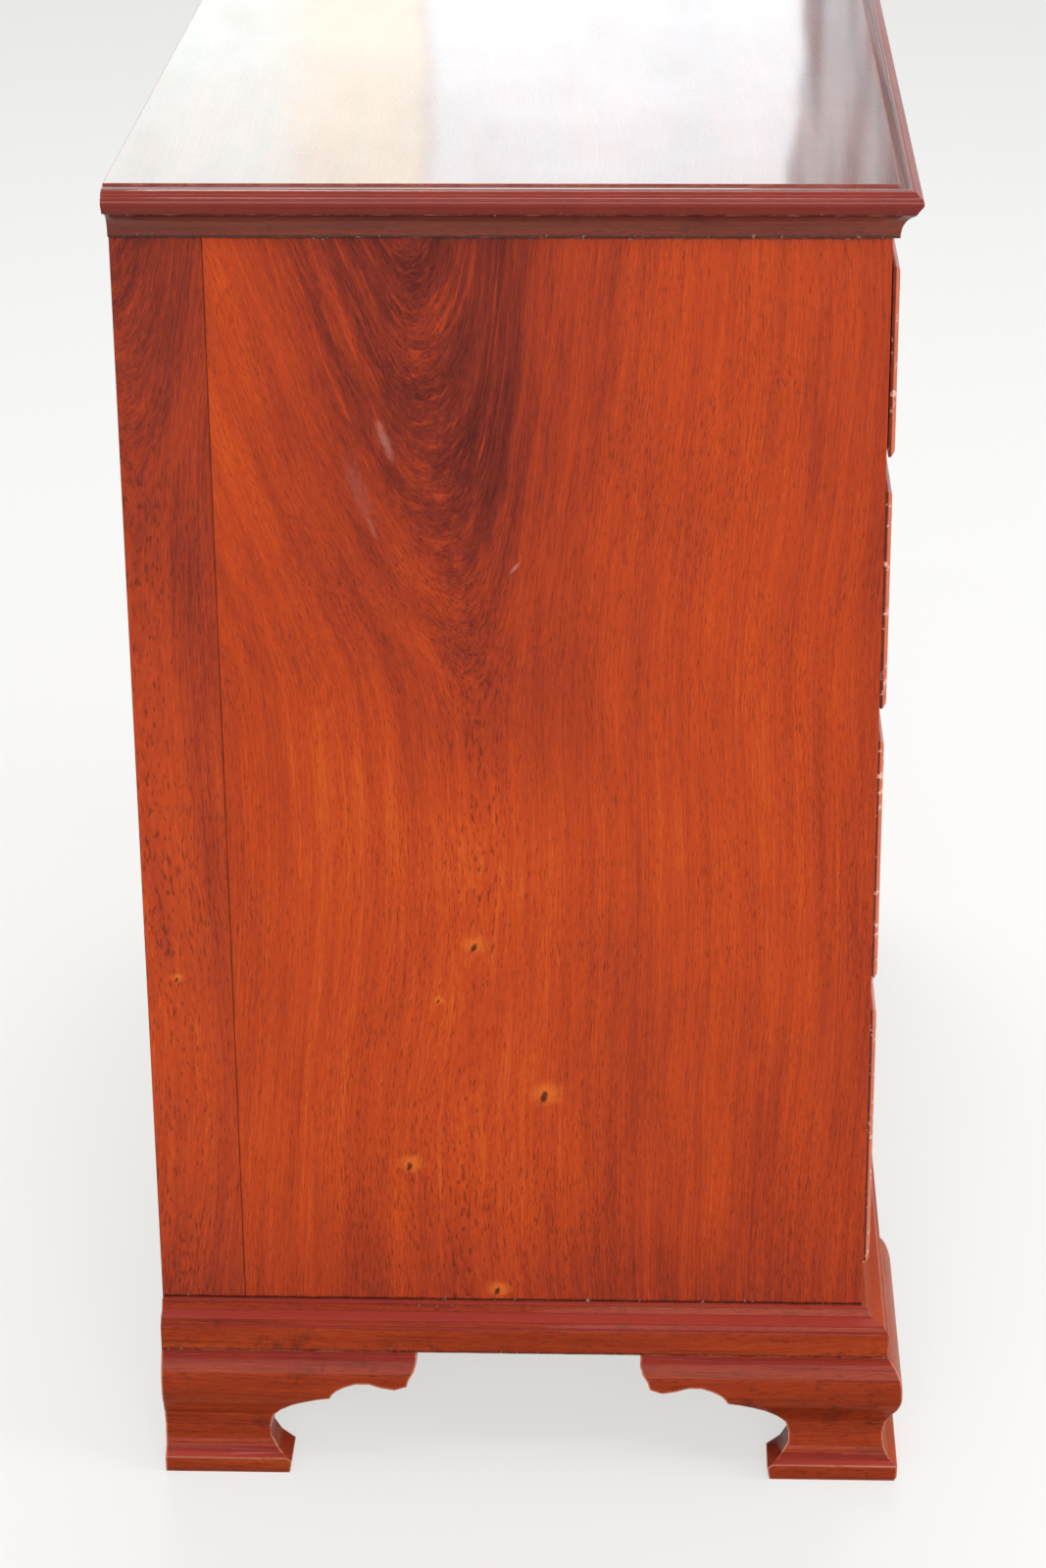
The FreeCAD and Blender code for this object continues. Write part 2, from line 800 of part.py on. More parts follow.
def make_drawer_sides(number):
    level = drawer_levels(number)
    inner = half_drawer - drawer_side_thickness
    root = drawer_back_depth - drawer_back_thickness
    board = box(inner, half_drawer, front_inner_face, root, level["floor"], level["side_top"])
    tops = [
        edge for edge in board.Edges
        if abs(edge.BoundBox.ZMin - level["side_top"]) < 1e-6
        and abs(edge.BoundBox.ZMax - level["side_top"]) < 1e-6
        and edge.BoundBox.YLength > drawer_side_thickness * 2
    ]
    board = board.makeChamfer(side_top_bevel, tops)
    heel = box(inner, half_drawer, root, drawer_back_depth, level["floor"], level["panel_top"])
    side = fused([board, heel] + front_tails(number) + back_tails(number))
    side = side.cut(bottom_panel(number))
    return Part.makeCompound(pair(side))


def make_drawer_back(number):
    level = drawer_levels(number)
    root = drawer_back_depth - drawer_back_thickness
    back = box(-half_drawer, half_drawer, root, drawer_back_depth, level["panel_top"], level["back_top"])
    for tail in back_tails(number):
        back = cut_all(back, pair(tail))
    return back


# ---------------------------------------------------------------- brass
def pull_height(number):
    low, high = drawer_lips()[number]
    return (low + high) / 2.0


def pull_places():
    centre = half_width - pull_margin
    return [centre, -centre]


def post_places():
    return [x + s * pull_spacing / 2 for x in pull_places() for s in (-1, 1)]


def post_hole(x, number):
    radius = post_shank_radius + hole_clearance
    return turned([(pivot_depth, radius), (front_inner_face + shank_end, radius)], x, pull_height(number))


def scalloped_plate(half, x, z, depth):
    """A plate that lies on the face at this depth; half is the right half of its outline, in arcs."""
    right = chorded(half, plate_chords)
    left = [(-across, rise) for across, rise in right[-2:0:-1]]
    outline = [point(x + across, depth, z + rise) for across, rise in right + left + right[:1]]
    return extruded(polyline(outline), Vec(0, -plate_thickness, 0))


def bat_wing_outline():
    """Right half of the back plate's outline, as shares of its half width, rise and fall."""
    upper = [(0.0, 1.0), (0.15, 0.76), (0.33, 0.80), (0.53, 0.97), (0.70, 0.84), (0.80, 0.52), (1.0, 0.40)]
    lower = [(1.02, 0.12), (0.90, -0.09), (0.98, -0.32), (0.93, -0.58), (0.75, -0.53), (0.60, -0.73),
             (0.43, -0.83), (0.27, -0.66), (0.13, -0.72), (0.0, -1.0)]
    return [(x * plate_half_width, r * (plate_rise if r > 0 else plate_fall)) for x, r in upper + lower]


def escutcheon_outline():
    """Right half of the keyhole plate's outline, as shares of its half width, rise and fall."""
    upper = [(0.0, 1.0), (0.24, 0.76), (0.52, 0.78), (0.88, 0.64), (0.79, 0.32)]
    lower = [(1.0, 0.0), (0.76, -0.26), (0.86, -0.56), (0.48, -0.67), (0.24, -0.70), (0.0, -1.0)]
    return [
        (x * escutcheon_half_width, r * (escutcheon_rise if r > 0 else escutcheon_fall))
        for x, r in upper + lower
    ]


def make_plates(number):
    """Two back plates on the blocks and the escutcheon in the hollow."""
    z = pull_height(number)
    plates = []
    for x in pull_places():
        plate = scalloped_plate(bat_wing_outline(), x, z, -drawer_face)
        holes = [post_hole(x + side * pull_spacing / 2, number) for side in (-1, 1)]
        plates.append(cut_all(plate, holes))
    plate = scalloped_plate(escutcheon_outline(), 0.0, z + key_rise(number), hollow_depth() - drawer_face)
    plates.append(plate.cut(keyhole(number, -drawer_face, front_inner_face)))
    return Part.makeCompound(plates)


def make_post(x, z):
    """A post: ball, neck, flange against the back plate, and the shank; bored for the bail."""
    ball, half = post_ball_radius, post_ball_half
    seat = -drawer_face - plate_thickness
    head = turned([
        (pivot_depth - half, 0.6 * ball),
        (pivot_depth - 0.7 * half, ball),
        (pivot_depth + 0.7 * half, ball),
        (pivot_depth + 0.94 * half, post_neck_radius),
        (seat, flange_radius),
    ], x, z)
    shank = turned([(seat, post_shank_radius), (front_inner_face + shank_end, post_shank_radius)], x, z)
    radius = bail_pin_radius + bail_pin_clearance
    bore = bent_rod([(x - 2 * ball, z), (x + 2 * ball, z)], pivot_depth, radius)
    return head.fuse(shank).cut(bore)


def make_posts(number):
    """Turned posts through the drawer front."""
    return Part.makeCompound([make_post(x, pull_height(number)) for x in post_places()])


def bail_path():
    """Corners (x, rise) of the right half of the swan-necked bail, from its shoulder to the grip."""
    turns = [
        (bail_corner, 90.0, 1),
        (bail_neck, bail_sway, 1),
        (bail_waist, bail_sway, -1),
        (bail_hip, 90.0, 1),
    ]
    x, rise, heading = pull_spacing / 2 + bail_shoulder, 0.0, 0.0
    corners = [(x, rise)]
    for radius, angle, hand in turns:
        centre = (x + hand * radius * math.sin(heading), rise - hand * radius * math.cos(heading))
        count = math.ceil(angle / bail_chord)
        for _ in range(count):
            heading -= hand * math.radians(angle) / count
            x = centre[0] - hand * radius * math.sin(heading)
            rise = centre[1] + hand * radius * math.cos(heading)
            corners.append((x, rise))
    return corners


def bearing_pin(x0, x1, z):
    """A pin along X: truly round on its lower quarter, which bears in the bore, with flats elsewhere."""
    def at(degrees):
        turn = math.radians(degrees)
        return point(x0, pivot_depth + bail_pin_radius * math.cos(turn), z + bail_pin_radius * math.sin(turn))

    flats = [at(-45.0 + n * 270.0 / pin_flats) for n in range(pin_flats + 1)]
    return extruded([arc(at(-135.0), at(-90.0), at(-45.0))] + polyline(flats), Vec(x1 - x0, 0, 0))


def make_bail(x, number):
    """A bent rod with its two turned-in ends, which lie in the bores of the posts."""
    z = pull_height(number)
    right = bail_path()
    left = [(-along, rise) for along, rise in right]
    rod = bent_rod([(along, z + rise) for along, rise in left + right[::-1]], pivot_depth, bail_radius)
    inner = pull_spacing / 2 - post_ball_radius
    outer = pull_spacing / 2 + bail_shoulder + bail_pin_radius / 2
    pin = bearing_pin(inner, outer, z)
    bail = fused([rod] + pair(pin))
    bail.translate(Vec(x, 0, 0))
    return bail


# ---------------------------------------------------------------- locks
def bolt_depth():
    """Depth of the bolt's front face."""
    return front_inner_face - lock_depth + lock_wall


def lock_levels(number):
    top = drawer_levels(number)["front_top"]
    return top - lock_height, top


def key_rise(number):
    """Keyhole height above the middle of the drawer."""
    low, top = lock_levels(number)
    return (low + top) / 2.0 - keyhole_setdown - pull_height(number)


def keyhole(number, depth0, depth1):
    z = pull_height(number) + key_rise(number)
    eye = turned([(depth0, keyhole_radius), (depth1, keyhole_radius)], 0.0, z)
    slot = box(-keyhole_width / 2, keyhole_width / 2, depth0, depth1, z - keyhole_drop, z)
    return eye.fuse(slot)


def lock_pocket(number):
    """The mortise for the lock's case and its selvage."""
    low, top = lock_levels(number)
    case = box(-lock_width / 2, lock_width / 2, front_inner_face - lock_depth, front_inner_face, low, top)
    selvage = box(
        -lock_width / 2, lock_width / 2, front_inner_face - selvage_depth, front_inner_face,
        top - selvage_thickness, top,
    )
    return case.fuse(selvage)


def bolt_box(number, rise, spare):
    _, top = lock_levels(number)
    depth = bolt_depth()
    return box(
        -bolt_width / 2 - spare, bolt_width / 2 + spare,
        depth - spare, depth + bolt_thickness + spare,
        top - bolt_setdown - bolt_length - spare, top - bolt_setdown + rise,
    )


def make_lock(number):
    """Lock case with its selvage, pierced for the key and for the bolt."""
    body = lock_pocket(number)
    way = bolt_box(number, 2 * bolt_travel, bolt_clearance)
    return body.removeSplitter().cut(way).cut(keyhole(number, 0.0, front_inner_face - lock_depth + lock_wall))


def make_bolt(number):
    return bolt_box(number, 0.0, 0.0)


def make_drawer(number):
    """One drawer's pieces when it is pushed home."""
    parts = {
        "front": make_drawer_front(number),
        "sides": make_drawer_sides(number),
        "back": make_drawer_back(number),
        "bottom": bottom_panel(number),
        "plates": make_plates(number),
        "posts": make_posts(number),
        "lock": make_lock(number),
        "bolt": make_bolt(number),
    }
    for x, hand in zip(pull_places(), ("right", "left")):
        parts["bail_" + hand] = make_bail(x, number)
    return parts


# ---------------------------------------------------------------- all the nodes
def build():
    parts = {}
    parts.update(make_sides())
    parts.update(make_rails())
    parts["top_board"] = make_top()
    parts["bottom_board"] = make_bottom_board()
    parts["back_boards"] = make_back_boards()
    parts["drawer_runners"] = make_runners()
    parts["cove_moulding"] = Part.makeCompound(mitred_run(cove_profile, cove_bottom, cove_height))
    parts["base_moulding"] = Part.makeCompound(mitred_run(base_profile, case_bottom, base_height))
    parts.update(make_feet())
    parts["foot_glue_blocks"] = make_glue_blocks()
    for number in range(len(drawer_lip_heights)):
        for name, shape in make_drawer(number).items():
            parts[f"drawer_{number + 1}_{name}"] = stand_out(shape, number)
    return parts


def export(parts):
    os.makedirs("parts", exist_ok=True)
    for name, shape in parts.items():
        for solid in shape.Solids:
            if not solid.isValid() or solid.Volume <= 0:
                raise ValueError(f"{name} has a bad solid")
        Part.makeCompound(shape.Solids).exportStep(f"parts/{name}.step")


export(build())
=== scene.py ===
import json
import math

import bmesh
import bpy
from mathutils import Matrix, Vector

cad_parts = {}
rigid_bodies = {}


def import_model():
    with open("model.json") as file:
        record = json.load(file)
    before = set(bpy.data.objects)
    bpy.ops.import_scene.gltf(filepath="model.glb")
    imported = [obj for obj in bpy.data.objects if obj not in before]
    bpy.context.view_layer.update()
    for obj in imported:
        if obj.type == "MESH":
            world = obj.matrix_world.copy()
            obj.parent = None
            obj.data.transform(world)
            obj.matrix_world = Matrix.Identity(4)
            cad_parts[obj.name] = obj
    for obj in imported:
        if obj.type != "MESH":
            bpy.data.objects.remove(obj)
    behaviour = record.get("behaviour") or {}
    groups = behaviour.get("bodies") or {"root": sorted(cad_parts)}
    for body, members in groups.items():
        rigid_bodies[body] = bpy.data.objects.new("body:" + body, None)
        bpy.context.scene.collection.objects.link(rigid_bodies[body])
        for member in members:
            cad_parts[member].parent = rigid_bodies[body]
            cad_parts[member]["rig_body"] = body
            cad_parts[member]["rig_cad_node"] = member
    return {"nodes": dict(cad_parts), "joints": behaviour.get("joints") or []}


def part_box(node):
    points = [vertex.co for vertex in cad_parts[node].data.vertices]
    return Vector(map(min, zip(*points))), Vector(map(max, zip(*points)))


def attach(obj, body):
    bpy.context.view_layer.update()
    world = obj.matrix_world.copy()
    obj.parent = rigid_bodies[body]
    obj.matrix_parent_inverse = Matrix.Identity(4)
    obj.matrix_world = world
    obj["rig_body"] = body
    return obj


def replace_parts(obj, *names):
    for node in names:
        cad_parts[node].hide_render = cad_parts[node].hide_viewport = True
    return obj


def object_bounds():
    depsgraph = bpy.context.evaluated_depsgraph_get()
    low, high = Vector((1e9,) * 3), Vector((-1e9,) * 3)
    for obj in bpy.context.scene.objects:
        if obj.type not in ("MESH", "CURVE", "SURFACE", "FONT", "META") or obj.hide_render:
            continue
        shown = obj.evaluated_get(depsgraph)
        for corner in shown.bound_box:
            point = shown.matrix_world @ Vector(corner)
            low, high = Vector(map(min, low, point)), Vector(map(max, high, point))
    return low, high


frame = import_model()
cad_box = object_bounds()

# --- sizes of the chest, in metres
CASE_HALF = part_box("side_right_board")[1].x
FRONT_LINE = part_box("side_right_board")[0].y  # where the case's sides stop
GLUE_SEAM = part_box("side_right_board")[1].y  # between a side's two boards
# heights of the level joints: feet, base, sides, cove and top
JOINTS = (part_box("base_moulding")[0].z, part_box("base_moulding")[1].z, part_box("cove_moulding")[0].z,
          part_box("cove_moulding")[1].z)
BACK_PLATE = (0.0435, 0.026, 0.029)  # half width, rise and fall from the posts' line
KEY_PLATE = (0.021, 0.025, 0.027)  # the same, from the keyhole's eye
PLATE_THICKNESS = 0.0012
PLATE_EDGE = 0.00035  # rounding of its arrises
POST_SPACING = 0.064
POST_BALL = 0.0044
POST_BALL_HALF = 0.0032  # flattened along the post
POST_STANDOFF = 0.0056  # the bail's pins in front of the drawer's face
POST_NECK = 0.0026
POST_FLANGE = 0.0060
SHANK_RADIUS = 0.0025
SHANK_HOLE = 0.0031  # through a back plate
SHANK_REACH = 0.055  # from the pins to the shank's end, inside the drawer
NUT_SEAT = 0.050  # the drawer front's flat back, behind the pins
NUT_HALF = 0.0042
NUT_THICKNESS = 0.0026
NUT_EDGE = 0.0005
BAIL_RADIUS = 0.0021
BAIL_SHOULDER = 0.0056
# the bail's bends from its shoulder to its middle: radius, degrees, hand
BAIL_BENDS = ((0.0045, 90.0, 1), (0.014, 50.0, 1), (0.012, 50.0, -1), (0.012, 90.0, 1))
COLLAR_GAP = 0.0004  # between a post's ball and the bail's collar
COLLAR_STEP = 0.0002
PIN_RADIUS = 0.00160
PIN_BORE = 0.0019
KEYHOLE_RADIUS = 0.0026
KEYHOLE_WIDTH = 0.0030
KEYHOLE_DROP = 0.0090
KEYHOLE_BELOW_LOCK_MIDDLE = 0.0040
NAIL_RADIUS = 0.0028
NAIL_HEAD = 0.0005
NAIL_IN = 0.001  # how far a nail's head is let in
NAIL_FROM_EDGE = 0.005
# the foot's ogee, (projection from the case, height): three arcs that share their ends
FOOT_CURVE = ((0.016848, 0.0846), (0.025, 0.0688), (0.0203425, 0.0479), (0.0145, 0.0270),
              (0.0155875, 0.02052), (0.0181975, 0.014916), (0.0236, 0.0113))
FOOT_CHORDS = 3  # to an arc, on the part's own mesh
FOOT_LENGTHS = 24  # to an arc, on the true curve
FOOT_SLICE = 0.003
ON_FACE = 0.00006  # how near to a face a point lies on it
DRAWERS = (1, 2, 3, 4)
DRAWER_END = 0.019  # from the case's side to the inside of a thumbnail
SEAM_WIDTH = 0.0018
JOINT_WIDTH = 0.0044
JOINT_CORE = 0.0004  # darkest part of a joint's line
SCUFF_WIDTH = 0.22  # of its length
SIDE_RUN_SHIFT = 0.31  # so that a moulding's figure changes at its mitre

# --- limits for the meshes' finishing
WELD = 0.00001
FINE_WELD = 0.000001
FLAT = math.radians(0.3)  # faces that meet at less are one
ARRIS = 38  # degrees; sharper edges are arrises
MOULDED_ARRIS = 50  # the same on mouldings and feet
TURNED_ARRIS = 35  # the same on metal
CURVE_TURNS = (math.radians(6), math.radians(66))  # between the flats of a moulded curve
CURVE_SEGMENTS = 4
PLATE_ARC = 6  # lengths to an arc of a plate's edge
SHORTEST_RUN = 0.004
LEVEL_SHARE = 0.1  # rise to length of an edge that counts as level
ABOUT_X = (math.radians(90), 0.0, 0.0)
ABOUT_Y = (0.0, math.radians(90), 0.0)
ORIGIN = (0.0, 0.0, 0.0)


# --- picking and finishing
def set_down():
    """Nothing selected, nothing in hand."""
    if bpy.context.object and bpy.context.object.mode != "OBJECT":
        bpy.ops.object.mode_set(mode="OBJECT")
    bpy.ops.object.select_all(action="DESELECT")


def take(piece):
    set_down()
    piece.select_set(True)
    bpy.context.view_layer.objects.active = piece


def open_up(piece):
    """Into the piece's mesh, with all of it picked."""
    take(piece)
    bpy.ops.object.mode_set(mode="EDIT")
    bpy.ops.mesh.select_all(action="SELECT")


def leave_mesh():
    bpy.ops.object.mode_set(mode="OBJECT")


def smooth(above):
    bpy.ops.object.shade_smooth_by_angle(angle=math.radians(above))


def apply_all(piece):
    take(piece)
    for modifier in list(piece.modifiers):
        bpy.ops.object.modifier_apply(modifier=modifier.name)


def copy_of(source, name):
    """A copy with its own mesh."""
    piece = source.copy()
    piece.data = source.data.copy()
    piece.name = piece.data.name = name
    bpy.context.scene.collection.objects.link(piece)
    return piece


def soften(piece, edge, above, weighted):
    """Rounds the sharp arrises a little and, where weighted, keeps the flats flat."""
    take(piece)
    smooth(above)
    if edge:
        bevel = piece.modifiers.new("arris", "BEVEL")
        bevel.width = edge
        bevel.segments = 2
        bevel.limit_method = "ANGLE"
        bevel.angle_limit = math.radians(above)
        bevel.harden_normals = True
    if weighted:
        flat = piece.modifiers.new("flats", "WEIGHTED_NORMAL")
        flat.keep_sharp = True
        flat.weight = 80
    apply_all(piece)


def round_curves(piece, width):
    """Turns the flats of a moulded profile into smooth curves along its run, and leaves its sharp arrises."""
    shape = bmesh.new()
    shape.from_mesh(piece.data)
    weights = [0.0] * len(shape.edges)
    for edge in shape.edges:
        run = edge.verts[1].co - edge.verts[0].co
        level = abs(run.z) < LEVEL_SHARE * run.length and run.length > SHORTEST_RUN
        turn = edge.calc_face_angle(0.0)
        if level and len(edge.link_faces) == 2 and CURVE_TURNS[0] < turn < CURVE_TURNS[1]:
            weights[edge.index] = 1.0
    shape.free()
    layer = piece.data.attributes.new("bevel_weight_edge", "FLOAT", "EDGE")
    layer.data.foreach_set("value", weights)
    bevel = piece.modifiers.new("curve", "BEVEL")
    bevel.limit_method = "WEIGHT"
    bevel.width = width
    bevel.segments = CURVE_SEGMENTS
    apply_all(piece)
    piece.data.attributes.remove(piece.data.attributes["bevel_weight_edge"])
    open_up(piece)
    bpy.ops.mesh.dissolve_degenerate(threshold=WELD)
    leave_mesh()


def arc_through(first, middle, last, count):
    """Points along the arc from first by way of middle, stopping short of last."""
    (ax, ay), (bx, by), (cx, cy) = first, middle, last
    twice = 2.0 * (ax * (by - cy) + bx * (cy - ay) + cx * (ay - by))
    a, b, c = ax * ax + ay * ay, bx * bx + by * by, cx * cx + cy * cy
    x = (a * (by - cy) + b * (cy - ay) + c * (ay - by)) / twice
    y = (a * (cx - bx) + b * (ax - cx) + c * (bx - ax)) / twice
    radius = math.hypot(ax - x, ay - y)
    start = math.atan2(ay - y, ax - x)
    sweep = math.atan2(cy - y, cx - x) - start
    half_way = math.atan2(by - y, bx - x) - start
    if half_way % math.tau > sweep % math.tau:
        sweep = -(-sweep % math.tau)
    else:
        sweep = sweep % math.tau
    angles = [start + sweep * n / count for n in range(count)]
    return [(x + radius * math.cos(angle), y + radius * math.sin(angle)) for angle in angles]


def foot_line(count):
    """The foot's ogee from its shoulder to its toe, as (projection, height), count lengths to each arc."""
    line = []
    for n in range(0, len(FOOT_CURVE) - 2, 2):
        line += arc_through(*FOOT_CURVE[n:n + 3], count)
    return line + [FOOT_CURVE[-1]]


def projection_at(line, height):
    for (p, z), (q, low) in zip(line, line[1:]):
        if low <= height <= z:
            return p + (q - p) * (z - height) / (z - low)


def swell_foot(piece):
    """Slices a bracket foot level by level and lays its outer faces on the ogee's true curve."""
    shape = bmesh.new()
    shape.from_mesh(piece.data)
    chords, curve = foot_line(FOOT_CHORDS), foot_line(FOOT_LENGTHS)
    top, low = curve[0][1], curve[-1][1]
    levels = round((top - low) / FOOT_SLICE)
    for n in range(1, levels):
        everything = shape.verts[:] + shape.edges[:] + shape.faces[:]
        bmesh.ops.bisect_plane(shape, geom=everything, dist=WELD, plane_no=(0.0, 0.0, 1.0),
                               plane_co=(0.0, 0.0, low + (top - low) * n / levels))
    widest = cad_box[1].x - CASE_HALF
    for vert in shape.verts:
        if not low <= vert.co.z <= top:
            continue
        flat = projection_at(chords, vert.co.z)
        grow = min(projection_at(curve, vert.co.z), widest) - flat
        if abs(abs(vert.co.x) - CASE_HALF - flat) < ON_FACE:
            vert.co.x += math.copysign(grow, vert.co.x)
        if abs(FRONT_LINE - vert.co.y - flat) < ON_FACE:
            vert.co.y -= grow
    shape.to_mesh(piece.data)
    shape.free()


def dressed_copy(node, name, edge, above=ARRIS, curve=0.0, foot=False):
    """A copy of a part's own mesh, joined up, with its arrises eased; it stands for that part."""
    piece = copy_of(frame["nodes"][node], name)
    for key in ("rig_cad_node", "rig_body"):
        if key in piece:
            del piece[key]
    piece.parent = None
    piece.data.materials.clear()
    open_up(piece)
    bpy.ops.mesh.remove_doubles(threshold=WELD)
    bpy.ops.mesh.dissolve_limited(angle_limit=FLAT)
    if curve or foot:
        # where two lengths meet at a glued joint, the faces inside it go
        bpy.ops.mesh.select_all(action="DESELECT")
        bpy.ops.mesh.select_interior_faces()
        bpy.ops.mesh.delete(type="FACE")
    leave_mesh()
    if curve:
        round_curves(piece, curve)
    if foot:
        swell_foot(piece)
    soften(piece, edge, above, not (curve or foot))
    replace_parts(piece, node)
    return piece


def finish_with(piece, material, body):
    piece.data.materials.clear()
    piece.data.materials.append(material)
    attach(piece, body)
    return piece


# --- building materials
def tint(red, green, blue):
    """A colour as a paint card shows it, 0 to 255, in the light the shaders work in."""
    def linear(v):
        v /= 255.0
        return v / 12.92 if v <= 0.04045 else ((v + 0.055) / 1.055) ** 2.4
    return (linear(red), linear(green), linear(blue), 1.0)


def feed(tree, node, feeds):
    """Sets a node's inputs to values, or links them to other nodes' outputs."""
    for key, value in feeds.items():
        if isinstance(value, bpy.types.NodeSocket):
            tree.links.new(value, node.inputs[key])
        else:
            node.inputs[key].default_value = value
    return node


def add(tree, kind, feeds, **settings):
    """A node with its settings and its inputs fed."""
    node = tree.nodes.new("ShaderNode" + kind)
    for key, value in settings.items():
        setattr(node, key, value)
    return feed(tree, node, feeds)


def use(tree, group, feeds):
    """A shared effect, placed in a material with its own values."""
    node = tree.nodes.new("ShaderNodeGroup")
    node.node_tree = group
    return feed(tree, node, feeds).outputs


def calc(tree, operation, *values):
    return add(tree, "Math", dict(enumerate(values)), operation=operation).outputs[0]


def times(tree, first, second):
    return calc(tree, "MULTIPLY", first, second)


def plus(tree, first, second):
    return calc(tree, "ADD", first, second)


def minus(tree, first, second):
    return calc(tree, "SUBTRACT", first, second)


def over(tree, first, second):
    return calc(tree, "DIVIDE", first, second)


def scaled(tree, value, by, more):
    """value times by, plus more."""
    return calc(tree, "MULTIPLY_ADD", value, by, more)


def size_of(tree, value):
    return calc(tree, "ABSOLUTE", value)


def distance(tree, first, second):
    return calc(tree, "SQRT", scaled(tree, first, first, times(tree, second, second)))


def fade(tree, value, low, high, to_low=0.0, to_high=1.0):
    """Goes smoothly from to_low at low to to_high at high."""
    return add(tree, "MapRange", {0: value, 1: low, 2: high, 3: to_low, 4: to_high},
               interpolation_type="SMOOTHSTEP").outputs[0]


def blend_colour(tree, share, first, second):
    return add(tree, "Mix", {0: share, 6: first, 7: second}, data_type="RGBA").outputs[2]


def colours(tree, value, *stops):
    node = add(tree, "ValToRGB", {0: value})
    ramp = node.color_ramp
    while len(ramp.elements) < len(stops):
        ramp.elements.new(0.5)
    for element, (place, colour) in zip(ramp.elements, stops):
        element.position = place
        element.color = colour
    return node.outputs[0]


def split(tree, vector):
    """A direction's or a place's three parts."""
    return add(tree, "SeparateXYZ", {0: vector}).outputs


def joined(tree, *parts):
    return add(tree, "CombineXYZ", dict(enumerate(parts))).outputs[0]


def stretched(tree, place, factors):
    return add(tree, "VectorMath", {0: place, 1: factors}, operation="MULTIPLY").outputs[0]


def noise(tree, place, scale, detail, roughness=0.5, seed=None):
    """Plain noise, and another one for each seed where there is one."""
    node = add(tree, "TexNoise", {"Vector": place, "Scale": scale, "Detail": detail, "Roughness": roughness})
    if seed is not None:
        node.noise_dimensions = "4D"
        feed(tree, node, {"W": seed})
    return node.outputs[0]


def grain_noise(tree, place, across, along, detail=2.0, roughness=0.55):
    """Noise drawn out along the third direction of place; across and along are counts to the metre."""
    return noise(tree, stretched(tree, place, (across, across, along)), 1.0, detail, roughness)


def object_place(tree):
    return tree.nodes.new("ShaderNodeTexCoord").outputs["Object"]


def bump_from(tree, height, strength, distance_up):
    return add(tree, "Bump", {"Strength": strength, "Distance": distance_up, "Height": height}).outputs[0]


def blank_material(name):
    material = bpy.data.materials.new(name)
    material.use_nodes = True
    material.node_tree.nodes.clear()
    return material, material.node_tree


def show(tree, shader, where="Material"):
    """Sends a shader to the tree's output."""
    out = tree.nodes.new("ShaderNodeOutput" + where)
    tree.links.new(shader.outputs[0], out.inputs[0])


def new_group(name, inputs, outputs):
    group = bpy.data.node_groups.new(name, "ShaderNodeTree")
    for in_out, sockets in (("INPUT", inputs), ("OUTPUT", outputs)):
        for label, kind in sockets.items():
            group.interface.new_socket(label, in_out=in_out, socket_type="NodeSocket" + kind)
    return group, group.nodes.new("NodeGroupInput").outputs, group.nodes.new("NodeGroupOutput").inputs


